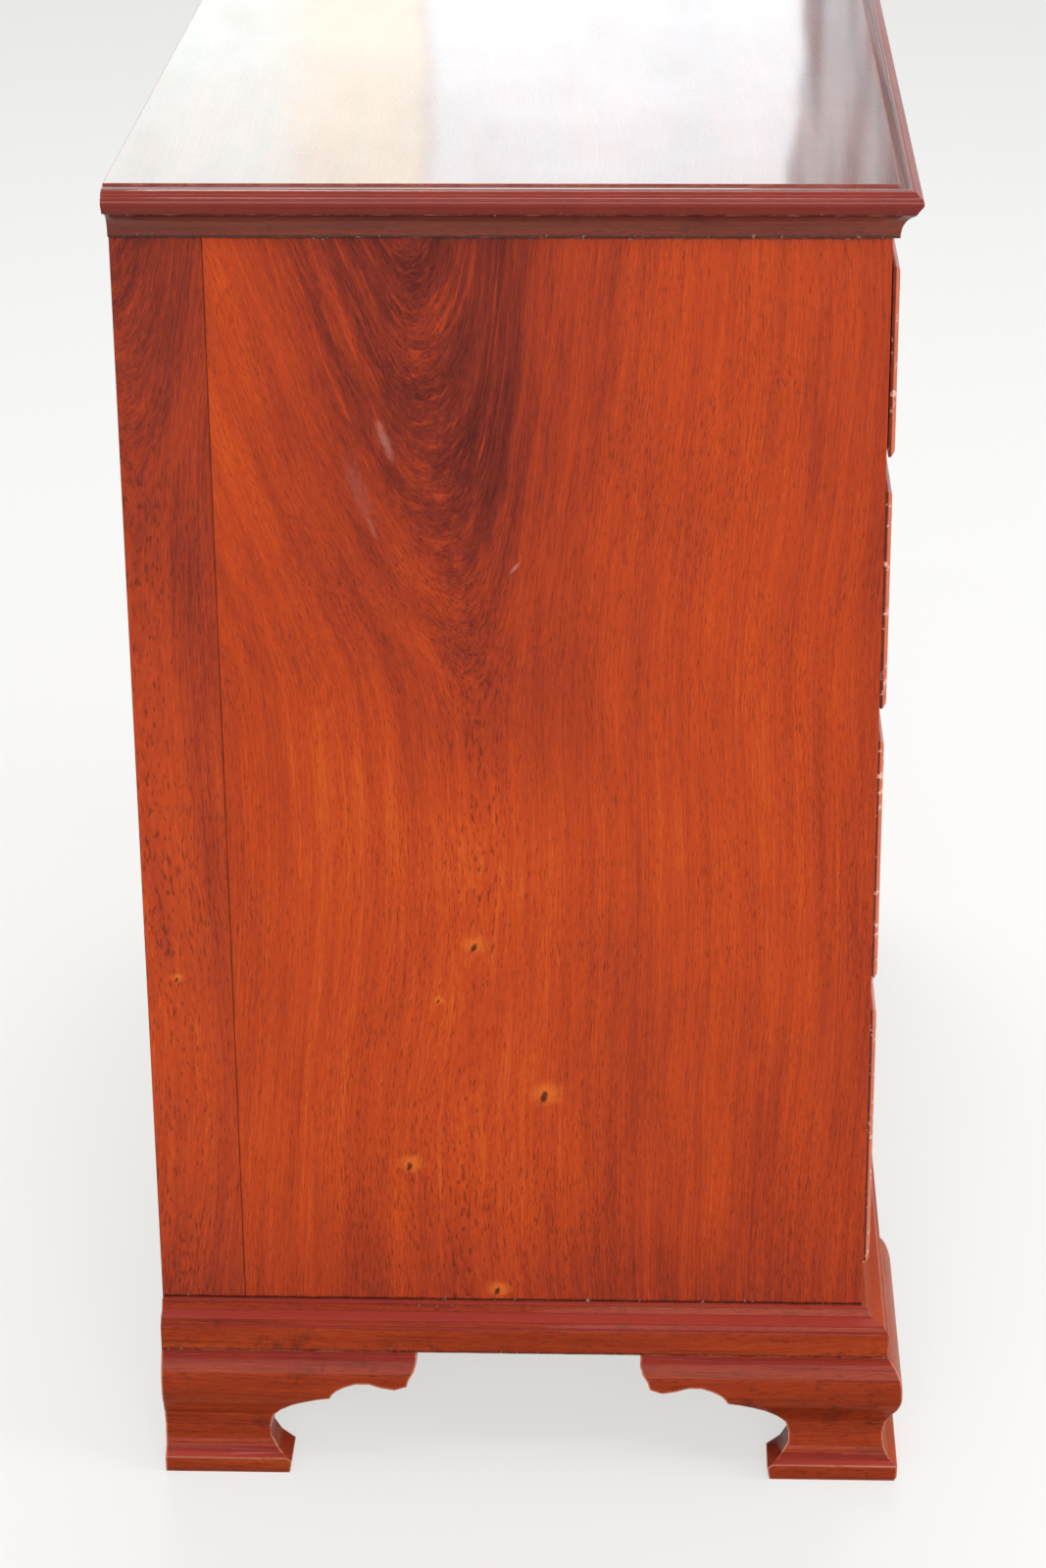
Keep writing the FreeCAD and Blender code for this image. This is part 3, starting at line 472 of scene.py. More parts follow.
# --- effects that several finishes share
def make_board_figure():
    """Mahogany's figure: streaks along the grain, a V-shaped plume over Foot, and open pores."""
    numbers = dict.fromkeys(("Seed", "Plume", "Middle", "Foot"), "Float")
    group, given, out = new_group("board_figure", {"Place": "Vector", **numbers},
                                  {"Tone": "Float", "Pores": "Float"})
    wide = stretched(group, given["Place"], (3.0, 3.0, 2.2))
    drift = scaled(group, noise(group, wide, 1.0, 1.5, seed=given["Seed"]), 0.07, -0.035)
    x, y, z = split(group, given["Place"])
    off_centre = minus(group, plus(group, y, drift), given["Middle"])
    rise = minus(group, z, given["Foot"])
    lift = times(group, plus(group, calc(group, "SQRT", scaled(group, rise, rise, 0.0012)), rise), 0.5)
    # the plume leans outward more on one side than on the other, and its arms fade into the straight grain
    spread = fade(group, off_centre, -0.05, 0.05, 0.20, 0.64)
    reach = times(group, off_centre, fade(group, off_centre, -0.03, 0.03, 6.5, 4.6))
    near = calc(group, "EXPONENT", times(group, times(group, reach, reach), -1.0))
    arms = times(group, times(group, lift, spread), near)
    folded = minus(group, calc(group, "SQRT", scaled(group, off_centre, off_centre, 0.0007)), arms)
    bend = calc(group, "GREATER_THAN", given["Plume"], 0.0)
    ring = plus(group, times(group, folded, bend), times(group, off_centre, minus(group, 1.0, bend)))
    turned = joined(group, scaled(group, off_centre, 0.28, x), ring, z)
    seed_shift = joined(group, given["Seed"], times(group, given["Seed"], 0.37))
    flow = add(group, "VectorMath", {0: turned, 1: seed_shift}, operation="ADD").outputs[0]
    tone = scaled(group, grain_noise(group, flow, 14.0, 2.2), 0.42, 0.42)
    # bands, fine streaks, mottle and specks: counts across and along, detail, strength
    for across, along, detail, strength in ((95.0, 2.6, 3.0, 0.46), (620.0, 14.0, 2.0, 0.42),
                                            (52.0, 10.0, 3.0, 0.28), (1500.0, 120.0, 1.0, 0.40)):
        streaks = grain_noise(group, flow, across, along, detail)
        tone = plus(group, tone, scaled(group, streaks, strength, -strength / 2))
    # smoky heart of the plume, darker in curling bands, with fine light curls between them
    inside = times(group, fade(group, folded, 0.034, -0.03), given["Plume"])
    inside = times(group, inside, fade(group, rise, -0.07, 0.09))
    curls = fade(group, grain_noise(group, flow, 52.0, 1.6, 2.0, 0.5), 0.3, 0.66, 0.55, 1.0)
    thin = fade(group, grain_noise(group, flow, 300.0, 3.0, 1.0), 0.56, 0.72)
    tone = minus(group, tone, times(group, times(group, inside, curls), 0.29))
    tone = plus(group, tone, times(group, times(group, inside, thin), 0.20))
    flecks = grain_noise(group, flow, 1700.0, 150.0, 1.0)
    thick = grain_noise(group, flow, 16.0, 8.0, 1.0)
    pores = fade(group, plus(group, flecks, scaled(group, thick, 0.22, -0.11)), 0.60, 0.69)
    group.links.new(tone, out["Tone"])
    group.links.new(pores, out["Pores"])
    return group


def make_pin_knot():
    """A pin knot: a dark eye of radius Size in a pale glow drawn out along the grain."""
    group, given, out = new_group("pin_knot", {"Place": "Vector", "Middle": "Vector", "Size": "Float"},
                                  {"Eye": "Float", "Glow": "Float"})
    away = add(group, "VectorMath", {0: given["Place"], 1: given["Middle"]}, operation="SUBTRACT").outputs[0]
    ragged = noise(group, given["Place"], 420.0, 2.0)
    y, z = [over(group, part, given["Size"]) for part in split(group, away)[1:]]
    leaning = times(group, plus(group, z, times(group, y, 0.7)), 0.75)
    beside = times(group, plus(group, y, 0.5), 0.8)
    above = minus(group, z, 0.9)
    # each with its raggedness and its reach, in radii
    for label, across, along, rough, reach in (("Eye", y, leaning, 1.2, 1.1),
                                               ("Glow", beside, above, 2.4, 3.6)):
        far = plus(group, distance(group, across, along), scaled(group, ragged, rough, -rough / 2))
        group.links.new(fade(group, far, reach, 0.4), out[label])
    return group


def make_worn_edge():
    """Where an arris is rubbed: Reach is how far in it shows, Amount how much of its length."""
    group, given, out = new_group("worn_edge", {"Place": "Vector", "Reach": "Float", "Amount": "Float"},
                                  {"Wear": "Float"})
    rounded = add(group, "Bevel", {"Radius": given["Reach"]}, samples=6).outputs[0]
    own = group.nodes.new("ShaderNodeNewGeometry").outputs["Normal"]
    facing = add(group, "VectorMath", {0: rounded, 1: own}, operation="DOT_PRODUCT").outputs["Value"]
    patchy = plus(group, noise(group, given["Place"], 70.0, 4.0, 0.7), given["Amount"])
    wear = times(group, fade(group, minus(group, 1.0, facing), 0.01, 0.16), fade(group, patchy, 0.85, 1.1))
    group.links.new(wear, out["Wear"])
    return group


def make_hand_polish():
    """An old polish: a haze that varies over the surface, and faint rubbed swirls."""
    group, given, out = new_group("hand_polish", {"Place": "Vector", "Seed": "Float"},
                                  {"Haze": "Float", "Ripple": "Float"})
    dull = noise(group, given["Place"], 9.0, 3.0, 0.6, seed=given["Seed"])
    smear = grain_noise(group, given["Place"], 60.0, 14.0)
    haze = plus(group, times(group, dull, 0.7), times(group, smear, 0.3))
    group.links.new(fade(group, haze, 0.3, 0.75), out["Haze"])
    group.links.new(noise(group, given["Place"], 30.0, 1.0), out["Ripple"])
    return group


board_figure = make_board_figure()
pin_knot = make_pin_knot()
worn_edge = make_worn_edge()
hand_polish = make_hand_polish()


# --- finishes
def laid_out(tree, order):
    """Object coordinates reordered so that the grain runs along the third; order is such as "xyz"."""
    axes = dict(zip("xyz", split(tree, object_place(tree))))
    return joined(tree, *[axes[axis] for axis in order])


def mitred_layout(tree):
    """Grain along the moulding's own run: along X at the front, along Y at the sides, parted at the mitre."""
    x, y, z = split(tree, object_place(tree))
    past = plus(tree, minus(tree, size_of(tree, x), CASE_HALF), minus(tree, y, FRONT_LINE))
    at_side = calc(tree, "GREATER_THAN", past, 0.0)
    front = joined(tree, y, z, x)
    side = joined(tree, x, plus(tree, z, SIDE_RUN_SHIFT), y)
    return add(tree, "Mix", {0: at_side, 4: front, 5: side}, data_type="VECTOR").outputs[1]


def cloud(tree, y, z, half_width, half_height):
    """A soft cloud on a side, 1 in its middle."""
    _, across, up = split(tree, object_place(tree))
    dy = over(tree, minus(tree, across, y), half_width)
    dz = over(tree, minus(tree, up, z), half_height)
    return calc(tree, "EXPONENT", times(tree, scaled(tree, dy, dy, times(tree, dz, dz)), -1.0))


def scuff(tree, y, z, size, lean, strength):
    """A pale rubbed patch on a side, drawn out along a leaning line."""
    place = object_place(tree)
    _, across, up = split(tree, place)
    dy, dz = minus(tree, across, y), minus(tree, up, z)
    cos, sin = math.cos(lean), math.sin(lean)
    along = plus(tree, times(tree, dy, sin), times(tree, dz, cos))
    aside = minus(tree, times(tree, dy, cos), times(tree, dz, sin))
    away = distance(tree, over(tree, along, size), over(tree, aside, size * SCUFF_WIDTH))
    ragged = scaled(tree, noise(tree, place, 160.0, 4.0, 0.7), 1.2, -0.6)
    return times(tree, fade(tree, plus(tree, away, ragged), 1.0, 0.2), strength)


def stain_seam(tree, base, seam):
    """A dark wavering line where a side's two boards are glued."""
    place = object_place(tree)
    off = size_of(tree, minus(tree, split(tree, place)[1], seam))
    line = fade(tree, off, times(tree, noise(tree, place, 45.0, 3.0), SEAM_WIDTH), 0.0)
    return blend_colour(tree, times(tree, line, 0.6), base, tint(62, 20, 14))


def darken_joint_dirt_and_shade(tree, base, height, upward):
    """Dirt along a level joint, and painted shade in its crease, with a pale chip here and there."""
    place = object_place(tree)
    off = size_of(tree, minus(tree, split(tree, place)[2], height))
    waver = noise(tree, place, 240.0, 3.0)
    line = fade(tree, off, times(tree, waver, JOINT_WIDTH), JOINT_CORE)
    line = times(tree, line, fade(tree, upward, 0.6, 0.4))
    # the dark line is partly dirt in the joint and partly painted shade in its crease
    base = blend_colour(tree, times(tree, line, 0.9), base, tint(44, 18, 16))
    chip = times(tree, line, fade(tree, waver, 0.63, 0.72))
    return blend_colour(tree, times(tree, chip, 0.55), base, tint(198, 152, 132))


def shade_light_and_wear_drawer_end(tree, base, aside):
    """A drawer's end: painted shade on its lip's end face, which is also darker end grain, painted light on
    its thumbnail's curve, bright orange, and pale nicks.
    """
    place = object_place(tree)
    across, depth, _ = split(tree, place)
    at_end = times(tree, fade(tree, depth, FRONT_LINE + 0.001, FRONT_LINE),
                   calc(tree, "GREATER_THAN", size_of(tree, across), CASE_HALF - DRAWER_END))
    # painted shade: the lip's end face, turned to the side, is darkened; it is also darker end grain
    end_grain_and_shade = times(tree, at_end, fade(tree, aside, 0.80, 0.97))
    thumbnail = times(tree, at_end, fade(tree, aside, 0.10, 0.30))
    # painted light: the thumbnail's curve between the end and the face is made bright orange, as if lit
    rubbed = times(tree, thumbnail, fade(tree, aside, 0.94, 0.80))
    nicked = times(tree, thumbnail, fade(tree, noise(tree, place, 190.0, 3.0), 0.60, 0.70))
    for share, strength, colour in ((end_grain_and_shade, 0.8, tint(74, 34, 30)), (rubbed, 0.6, tint(216, 112, 74)),
                                    (nicked, 0.75, tint(232, 196, 176))):
        base = blend_colour(tree, times(tree, share, strength), base, colour)
    return base


def stain_and_light_moulding(tree, base, place, aside, upward, painted_front_light):
    """Stains and streaks along the run, a painted sheen on the ledges, and painted light that makes the front
    run lighter and more orange.
    """
    stains = noise(tree, object_place(tree), 46.0, 5.0, 0.7)
    base = blend_colour(tree, fade(tree, stains, 0.54, 0.72, 0.0, 0.5), base, tint(76, 28, 22))
    streaks = grain_noise(tree, place, 330.0, 10.0, 3.0)
    base = blend_colour(tree, fade(tree, streaks, 0.54, 0.70, 0.0, 0.45), base, tint(84, 30, 20))
    # painted sheen and shade: faces that face up are tinted purple-red, lighter the more nearly they face up,
    # in place of reflected sky
    ledge_sheen_colour = blend_colour(tree, fade(tree, upward, 0.7, 0.92), tint(118, 30, 36), tint(162, 62, 56))
    ledge_sheen = times(tree, fade(tree, upward, 0.2, 0.9, 0.0, 0.8), fade(tree, aside, 0.05, 0.35, 0.35, 1.0))
    base = blend_colour(tree, ledge_sheen, base, ledge_sheen_colour)
    if painted_front_light:
        # painted light: faces of the front run that face forward or up are made more orange, as if lit from
        # the front
        in_front = calc(tree, "LESS_THAN", split(tree, object_place(tree))[1], FRONT_LINE)
        share = times(tree, fade(tree, aside, 0.35, 0.05, 0.0, 0.22), in_front)
        base = blend_colour(tree, share, base, tint(206, 104, 50))
    return base


# the wood from its darkest streaks to its lightest
MAHOGANY = {
    "side": ((0.02, tint(84, 25, 16)), (0.24, tint(122, 40, 25)), (0.48, tint(162, 56, 25)),
             (0.74, tint(190, 70, 25)), (1.0, tint(212, 98, 36))),
    "top": ((0.25, tint(72, 24, 16)), (0.45, tint(90, 31, 20)), (0.65, tint(108, 41, 26)),
            (0.90, tint(128, 54, 32))),
    "cove": ((0.05, tint(62, 24, 18)), (0.3, tint(86, 34, 25)), (0.6, tint(112, 46, 31)),
             (1.0, tint(140, 62, 40))),
    "moulding": ((0.05, tint(80, 24, 15)), (0.3, tint(120, 40, 20)), (0.6, tint(150, 54, 24)),
                 (1.0, tint(180, 76, 34))),
    "front": ((0.30, tint(74, 24, 14)), (0.46, tint(118, 38, 18)), (0.60, tint(164, 56, 22)),
              (0.74, tint(192, 76, 28)), (0.95, tint(214, 104, 42))),
}


def mahogany(name, colour, layout, seed, plume=0.0, middle=0.0, foot=0.0, knots=(), scuffs=(), clouds=(),
             coat=0.3, wear=0.25, wear_reach=0.0012, gleam=0.24, pore_depth=0.5, specular=0.06, seam=None,
             joints=()):
    """Polished mahogany; colour is one of MAHOGANY's, layout the grain's way, "mitred" on a moulding."""
    material, tree = blank_material(name)
    place = mitred_layout(tree) if layout == "mitred" else laid_out(tree, layout)
    figure = use(tree, board_figure,
                 {"Place": place, "Seed": seed, "Plume": plume, "Middle": middle, "Foot": foot})
    tone = figure["Tone"]
    # clouds lighten or darken the tone; some of them are painted shade, see SIDE_CLOUDS
    for *where, amount in clouds:
        tone = plus(tree, tone, times(tree, cloud(tree, *where), amount))
    base = colours(tree, tone, *MAHOGANY[colour])
    base = blend_colour(tree, times(tree, figure["Pores"], pore_depth), base, tint(66, 22, 12))
    if seam:
        base = stain_seam(tree, base, seam)
    for y, z, size in knots:
        knot = use(tree, pin_knot, {"Place": object_place(tree), "Middle": (0.0, y, z), "Size": size})
        base = blend_colour(tree, times(tree, knot["Glow"], 0.6), base, tint(228, 116, 42))
        base = blend_colour(tree, times(tree, knot["Eye"], 0.9), base, tint(70, 22, 14))
    for where in scuffs:
        base = blend_colour(tree, scuff(tree, *where), base, tint(186, 128, 120))
    sideways, _, upward = split(tree, tree.nodes.new("ShaderNodeNewGeometry").outputs["True Normal"])
    aside = size_of(tree, sideways)
    # each joint gets a dark line of dirt and painted shade in its crease
    for height in joints:
        base = darken_joint_dirt_and_shade(tree, base, height, upward)
    if colour == "top":
        # the moulded edge of the top is redder than its field
        base = blend_colour(tree, fade(tree, upward, 0.98, 0.9, 0.0, 0.6), base, tint(136, 40, 32))
    elif colour == "front":
        base = shade_light_and_wear_drawer_end(tree, base, aside)
    elif layout == "mitred":
        base = stain_and_light_moulding(tree, base, place, aside, upward, colour == "moulding")
    # the pale arris colour is partly real wear and partly a painted glint on the arrises
    rub = use(tree, worn_edge, {"Place": object_place(tree), "Reach": wear_reach, "Amount": wear})["Wear"]
    base = blend_colour(tree, times(tree, rub, 0.8), base, tint(226, 160, 132))
    polish = use(tree, hand_polish, {"Place": place, "Seed": seed})
    if colour == "top":
        # only the flat of the top has the deep polish, its moulded edge is duller
        coat_share = fade(tree, upward, 0.9, 0.99, 0.3, coat)
    else:
        coat_share = scaled(tree, polish["Haze"], -0.15 * coat, coat)
    # a pore_depth of nothing stands for filled pores
    pores = times(tree, figure["Pores"], 1.0 if pore_depth else 0.0)
    rough = plus(tree, scaled(tree, polish["Haze"], 0.14, gleam), times(tree, pores, 0.2))
    height = scaled(tree, pores, -1.0, times(tree, polish["Ripple"], 0.4))
    show(tree, add(tree, "BsdfPrincipled", {
        "Base Color": base, "Roughness": rough, "Coat Weight": coat_share, "Coat Roughness": 0.05,
        "Specular IOR Level": specular, "IOR": 1.5, "Normal": bump_from(tree, height, 0.12, 0.0004)}))
    return material


def softwood(name, layout, seed, pale, dark, darker):
    """Bare, aged secondary wood, sawn and planed."""
    material, tree = blank_material(name)
    place = laid_out(tree, layout)
    figure = use(tree, board_figure, {"Place": place, "Seed": seed})
    rings = times(tree, grain_noise(tree, place, 55.0, 1.6, 1.0), 9.0)
    late = fade(tree, calc(tree, "PINGPONG", rings, 1.0), 0.55, 1.0)
    base = colours(tree, figure["Tone"], (0.1, dark), (0.6, pale), (0.95, pale))
    base = blend_colour(tree, times(tree, late, 0.4), base, dark)
    age = grain_noise(tree, place, 11.0, 2.2, 4.0, 0.65)
    base = blend_colour(tree, fade(tree, age, 0.42, 0.8, 0.0, 0.55), base, darker)
    saw = noise(tree, place, 260.0, 2.0)
    height = plus(tree, times(tree, saw, 0.4), times(tree, late, 0.3))
    show(tree, add(tree, "BsdfPrincipled", {
        "Base Color": base, "Roughness": fade(tree, saw, 0.2, 0.8, 0.6, 0.85),
        "Specular IOR Level": 0.3, "Normal": bump_from(tree, height, 0.25, 0.0005)}))
    return material


def old_metal(name, bright, dull, stain, gleam):
    """Metal with a mottled patina and rubbed arrises."""
    material, tree = blank_material(name)
    place = object_place(tree)
    mottle = noise(tree, place, 130.0, 5.0, 0.65)
    patina = fade(tree, mottle, 0.4, 0.7)
    spots = fade(tree, noise(tree, place, 520.0, 2.0), 0.6, 0.75, 0.0, 0.6)
    rub = use(tree, worn_edge, {"Place": place, "Reach": 0.0007, "Amount": 0.35})["Wear"]
    base = blend_colour(tree, patina, bright, dull)
    base = blend_colour(tree, spots, base, stain)
    base = blend_colour(tree, rub, base, bright)
    show(tree, add(tree, "BsdfPrincipled", {
        "Base Color": base, "Metallic": 1.0, "Roughness": scaled(tree, patina, 0.22, gleam),
        "Normal": bump_from(tree, mottle, 0.1, 0.0003)}))
    return material


# pin knots: y, z, radius
SIDE_KNOTS = ((0.0318, 0.3534, 0.0024), (0.0534, 0.3182, 0.0011), (-0.0095, 0.2543, 0.0031),
              (0.0726, 0.2063, 0.0024), (0.0204, 0.1191, 0.0022))
STRIP_KNOTS = ((0.2098, 0.3310, 0.0014),)
# scuffs: y, z, half length, lean, strength
SIDE_SCUFFS = ((0.0775, 0.6690, 0.017, 0.33, 0.42), (0.0051, 0.5934, 0.006, -0.7, 0.55),
               (0.0856, 0.6166, 0.009, 0.33, 0.22), (0.0930, 0.6400, 0.030, 0.3, 0.12))
# clouds in the side's colour: y, z, half width, half height, lighter or darker; most follow the wood's
# figure, the band at z 0.775 is painted shade under the cove, and the wide band at z 0.085 makes the side
# darker towards the bottom
SIDE_CLOUDS = ((0.050, 0.690, 0.080, 0.150, -0.16), (0.006, 0.650, 0.036, 0.080, -0.15),
               (0.020, 0.775, 0.110, 0.035, -0.06), (0.022, 0.520, 0.050, 0.065, -0.20),
               (-0.045, 0.700, 0.030, 0.200, -0.06), (0.100, 0.600, 0.030, 0.070, -0.07),
               (0.040, 0.420, 0.110, 0.060, 0.10), (-0.150, 0.640, 0.060, 0.150, -0.08),
               (-0.140, 0.400, 0.050, 0.200, 0.04), (0.000, 0.085, 0.600, 0.070, -0.22),
               (0.060, 0.250, 0.100, 0.060, 0.03), (-0.065, 0.300, 0.040, 0.120, -0.06),
               (0.150, 0.380, 0.030, 0.120, -0.06), (0.165, 0.680, 0.014, 0.120, 0.05),
               (-0.200, 0.480, 0.016, 0.350, -0.10))
# on the rear strip, the first cloud darkens its top under the cove and the last darkens it towards the bottom
STRIP_CLOUDS = ((0.195, 0.790, 0.080, 0.150, -0.17), (0.195, 0.600, 0.050, 0.130, -0.20),
                (0.195, 0.360, 0.080, 0.080, -0.01), (0.195, 0.085, 0.600, 0.080, -0.32))

plumed_side = mahogany("mahogany_side_plumed", "side", "xyz", 3.1, plume=1.0, middle=0.030, foot=0.530,
                       knots=SIDE_KNOTS, scuffs=SIDE_SCUFFS, clouds=SIDE_CLOUDS, coat=0.14, seam=GLUE_SEAM,
                       joints=JOINTS)
plain_side = mahogany("mahogany_side_plain", "side", "xyz", 8.4, plume=0.7, middle=-0.02, foot=0.50,
                      coat=0.14, seam=GLUE_SEAM, joints=JOINTS)
rear_strip = mahogany("mahogany_rear_strip", "side", "xyz", 14.7, plume=0.6, middle=0.225, foot=0.66,
                      knots=STRIP_KNOTS, clouds=STRIP_CLOUDS, coat=0.2, seam=GLUE_SEAM, joints=JOINTS)
top_finish = mahogany("mahogany_top", "top", "zyx", 21.3, coat=1.0, gleam=0.3, wear=0.44, wear_reach=0.0016,
                      specular=0.05, pore_depth=0.0, joints=JOINTS)
cove_finish = mahogany("mahogany_cove", "cove", "mitred", 4.4, coat=0.45, wear=0.4, joints=JOINTS)
moulding_finish = mahogany("mahogany_moulding", "moulding", "mitred", 5.9, coat=0.1, wear=0.5,
                           wear_reach=0.0016, specular=0.03, joints=JOINTS)
foot_finish = mahogany("mahogany_foot", "moulding", "mitred", 9.3, coat=0.1, wear=0.62, wear_reach=0.0026,
                       specular=0.03, joints=JOINTS)
front_finish = mahogany("mahogany_front", "front", "yzx", 11.2, wear=0.36)
rail_finish = mahogany("mahogany_rail", "moulding", "yzx", 17.8, wear=0.3)
pine_upright = softwood("pine_upright", "xyz", 2.0, tint(206, 164, 112), tint(160, 112, 66),
                        tint(112, 78, 50))
pine_along_x = softwood("pine_long", "yzx", 4.0, tint(200, 156, 104), tint(156, 106, 62), tint(104, 72, 46))
pine_along_y = softwood("pine_deep", "xzy", 6.0, tint(202, 158, 106), tint(158, 110, 66), tint(110, 76, 50))
poplar = softwood("poplar", "xzy", 9.0, tint(206, 174, 126), tint(172, 138, 92), tint(126, 98, 66))
brass = old_metal("old_brass", tint(226, 178, 92), tint(176, 128, 62), tint(96, 70, 40), 0.22)
iron = old_metal("smith_iron", tint(96, 92, 88), tint(62, 56, 52), tint(88, 50, 34), 0.42)


# --- shapes for the brass and the nails
def lay_line(curve, points):
    line = curve.splines.new("POLY")
    line.points.add(len(points) - 1)
    for point, (x, y) in zip(line.points, points):
        point.co = (x, y, 0.0, 1.0)
    line.use_cyclic_u = True


def circle(x, y, radius, count=24):
    steps = [math.tau * n / count for n in range(count)]
    return [(x + radius * math.cos(a), y + radius * math.sin(a)) for a in steps]


def cut_plate(name, half, size, holes):
    """A brass plate at the origin, its back on y = 0; half is its right half in arcs, as shares of size."""
    half_width, rise, fall = size
    right = [(x * half_width, z * (rise if z > 0 else fall)) for x, z in half]
    edge = []
    for first, middle, last in zip(right[0::2], right[1::2], right[2::2]):
        edge += arc_through(first, middle, last, PLATE_ARC)
    edge.append(right[-1])
    curve = bpy.data.curves.new(name, "CURVE")
    curve.dimensions = "2D"
    curve.fill_mode = "BOTH"
    curve.extrude = PLATE_THICKNESS / 2 - PLATE_EDGE
    curve.bevel_depth = PLATE_EDGE
    curve.bevel_resolution = 2
    for line in [edge + [(-x, z) for x, z in edge[-2:0:-1]]] + holes:
        lay_line(curve, line)
    plate = bpy.data.objects.new(name, curve)
    bpy.context.scene.collection.objects.link(plate)
    take(plate)
    bpy.ops.object.convert(target="MESH")
    plate = bpy.context.object
    open_up(plate)
    bpy.ops.mesh.remove_doubles(threshold=WELD)
    bpy.ops.transform.rotate(value=-ABOUT_X[0], orient_axis="X", center_override=ORIGIN)
    bpy.ops.transform.translate(value=(0.0, -PLATE_THICKNESS / 2, 0.0))
    bpy.ops.mesh.normals_make_consistent(inside=False)
    leave_mesh()
    smooth(TURNED_ARRIS)
    return plate


def make_back_plate():
    upper = [(0.0, 1.0), (0.15, 0.76), (0.33, 0.80), (0.53, 0.97), (0.70, 0.84), (0.80, 0.52), (1.0, 0.40)]
    lower = [(1.02, 0.12), (0.90, -0.09), (0.98, -0.32), (0.93, -0.58), (0.75, -0.53), (0.60, -0.73),
             (0.43, -0.83), (0.27, -0.66), (0.13, -0.72), (0.0, -1.0)]
    holes = [circle(side * POST_SPACING / 2, 0.0, SHANK_HOLE) for side in (-1, 1)]
    return cut_plate("back_plate", upper + lower, BACK_PLATE, holes)


def make_key_plate():
    upper = [(0.0, 1.0), (0.24, 0.76), (0.52, 0.78), (0.88, 0.64), (0.79, 0.32)]
    lower = [(1.0, 0.0), (0.76, -0.26), (0.86, -0.56), (0.48, -0.67), (0.24, -0.70), (0.0, -1.0)]
    slot = KEYHOLE_WIDTH / 2
    turn = math.asin(slot / KEYHOLE_RADIUS)
    eye = [-math.pi / 2 + turn + (math.tau - 2.0 * turn) * n / 18 for n in range(19)]
    keyhole = [(KEYHOLE_RADIUS * math.cos(a), KEYHOLE_RADIUS * math.sin(a)) for a in eye]
    return cut_plate("key_plate", upper + lower, KEY_PLATE,
                     [keyhole + [(-slot, -KEYHOLE_DROP), (slot, -KEYHOLE_DROP)]])


def start_disc(name, radius, at, rotation, sides=24):
    """A filled circle in edit mode, all of it picked, ready to be drawn out."""
    set_down()
    bpy.ops.mesh.primitive_circle_add(vertices=sides, radius=radius, fill_type="NGON", location=at,
                                      rotation=rotation)
    piece = bpy.context.object
    piece.name = piece.data.name = name
    bpy.ops.object.transform_apply(location=True, rotation=True, scale=True)
    open_up(piece)
    return piece


def draw_out(along, growth, centre):
    """Extrudes what is picked by along, then scales its end about centre."""
    bpy.ops.mesh.extrude_region_move(TRANSFORM_OT_translate={"value": along})
    if growth != 1.0:
        bpy.ops.transform.resize(value=(growth, growth, growth), center_override=centre)


def close_up(piece):
    """Welds a drawn-out mesh, turns its faces outward and leaves it."""
    bpy.ops.mesh.select_all(action="SELECT")
    bpy.ops.mesh.remove_doubles(threshold=FINE_WELD)
    bpy.ops.mesh.normals_make_consistent(inside=False)
    leave_mesh()
    take(piece)
    smooth(TURNED_ARRIS)
    return piece


def bore(piece, radius, half_length, rotation, at=ORIGIN):
    """Drills a round hole through a piece."""
    set_down()
    bpy.ops.mesh.primitive_cylinder_add(vertices=24, radius=radius, depth=2 * half_length, rotation=rotation,
                                        location=at)
    drill = bpy.context.object
    hole = piece.modifiers.new("bore", "BOOLEAN")
    hole.operation = "DIFFERENCE"
    hole.solver = "EXACT"
    hole.object = drill
    apply_all(piece)
    bpy.data.objects.remove(drill)
    smooth(TURNED_ARRIS)
    return piece


def make_post():
    """A turned post with the pins' axis at the origin: flattened ball, neck, flange and shank."""
    ball = [math.radians(a) for a in (-72, -54, -36, -18, 0, 18, 36, 53)]
    profile = [(POST_BALL_HALF * math.sin(a), POST_BALL * math.cos(a)) for a in ball]
    seat = POST_STANDOFF - PLATE_THICKNESS
    profile += [(seat - 0.0013, POST_NECK), (seat - 0.0011, 0.8 * POST_FLANGE), (seat - 0.0005, POST_FLANGE),
                (seat, POST_FLANGE), (seat + 0.0001, SHANK_RADIUS), (SHANK_REACH - 0.0005, SHANK_RADIUS),
                (SHANK_REACH, 0.8 * SHANK_RADIUS)]
    depth, radius = profile[0]
    post = start_disc("turned_post", radius, (0.0, depth, 0.0), ABOUT_X)
    for next_depth, next_radius in profile[1:]:
        draw_out((0.0, next_depth - depth, 0.0), next_radius / radius, (0.0, next_depth, 0.0))
        depth, radius = next_depth, next_radius
    close_up(post)
    return bore(post, PIN_BORE, 2.0 * POST_BALL, ABOUT_Y)


def make_nut():
    """A square nut on the shank's end, its corners filed off."""
    set_down()
    bpy.ops.mesh.primitive_cube_add(size=1.0, location=(0.0, NUT_SEAT + NUT_THICKNESS / 2, 0.0))
    nut = bpy.context.object
    nut.name = nut.data.name = "square_nut"
    open_up(nut)
    bpy.ops.transform.resize(value=(2 * NUT_HALF, NUT_THICKNESS, 2 * NUT_HALF))
    bpy.ops.mesh.bevel(offset=NUT_EDGE, segments=2)
    leave_mesh()
    bpy.ops.object.transform_apply(location=True, rotation=True, scale=True)
    return bore(nut, SHANK_RADIUS, 2 * NUT_THICKNESS, ABOUT_X, (0.0, NUT_SEAT, 0.0))


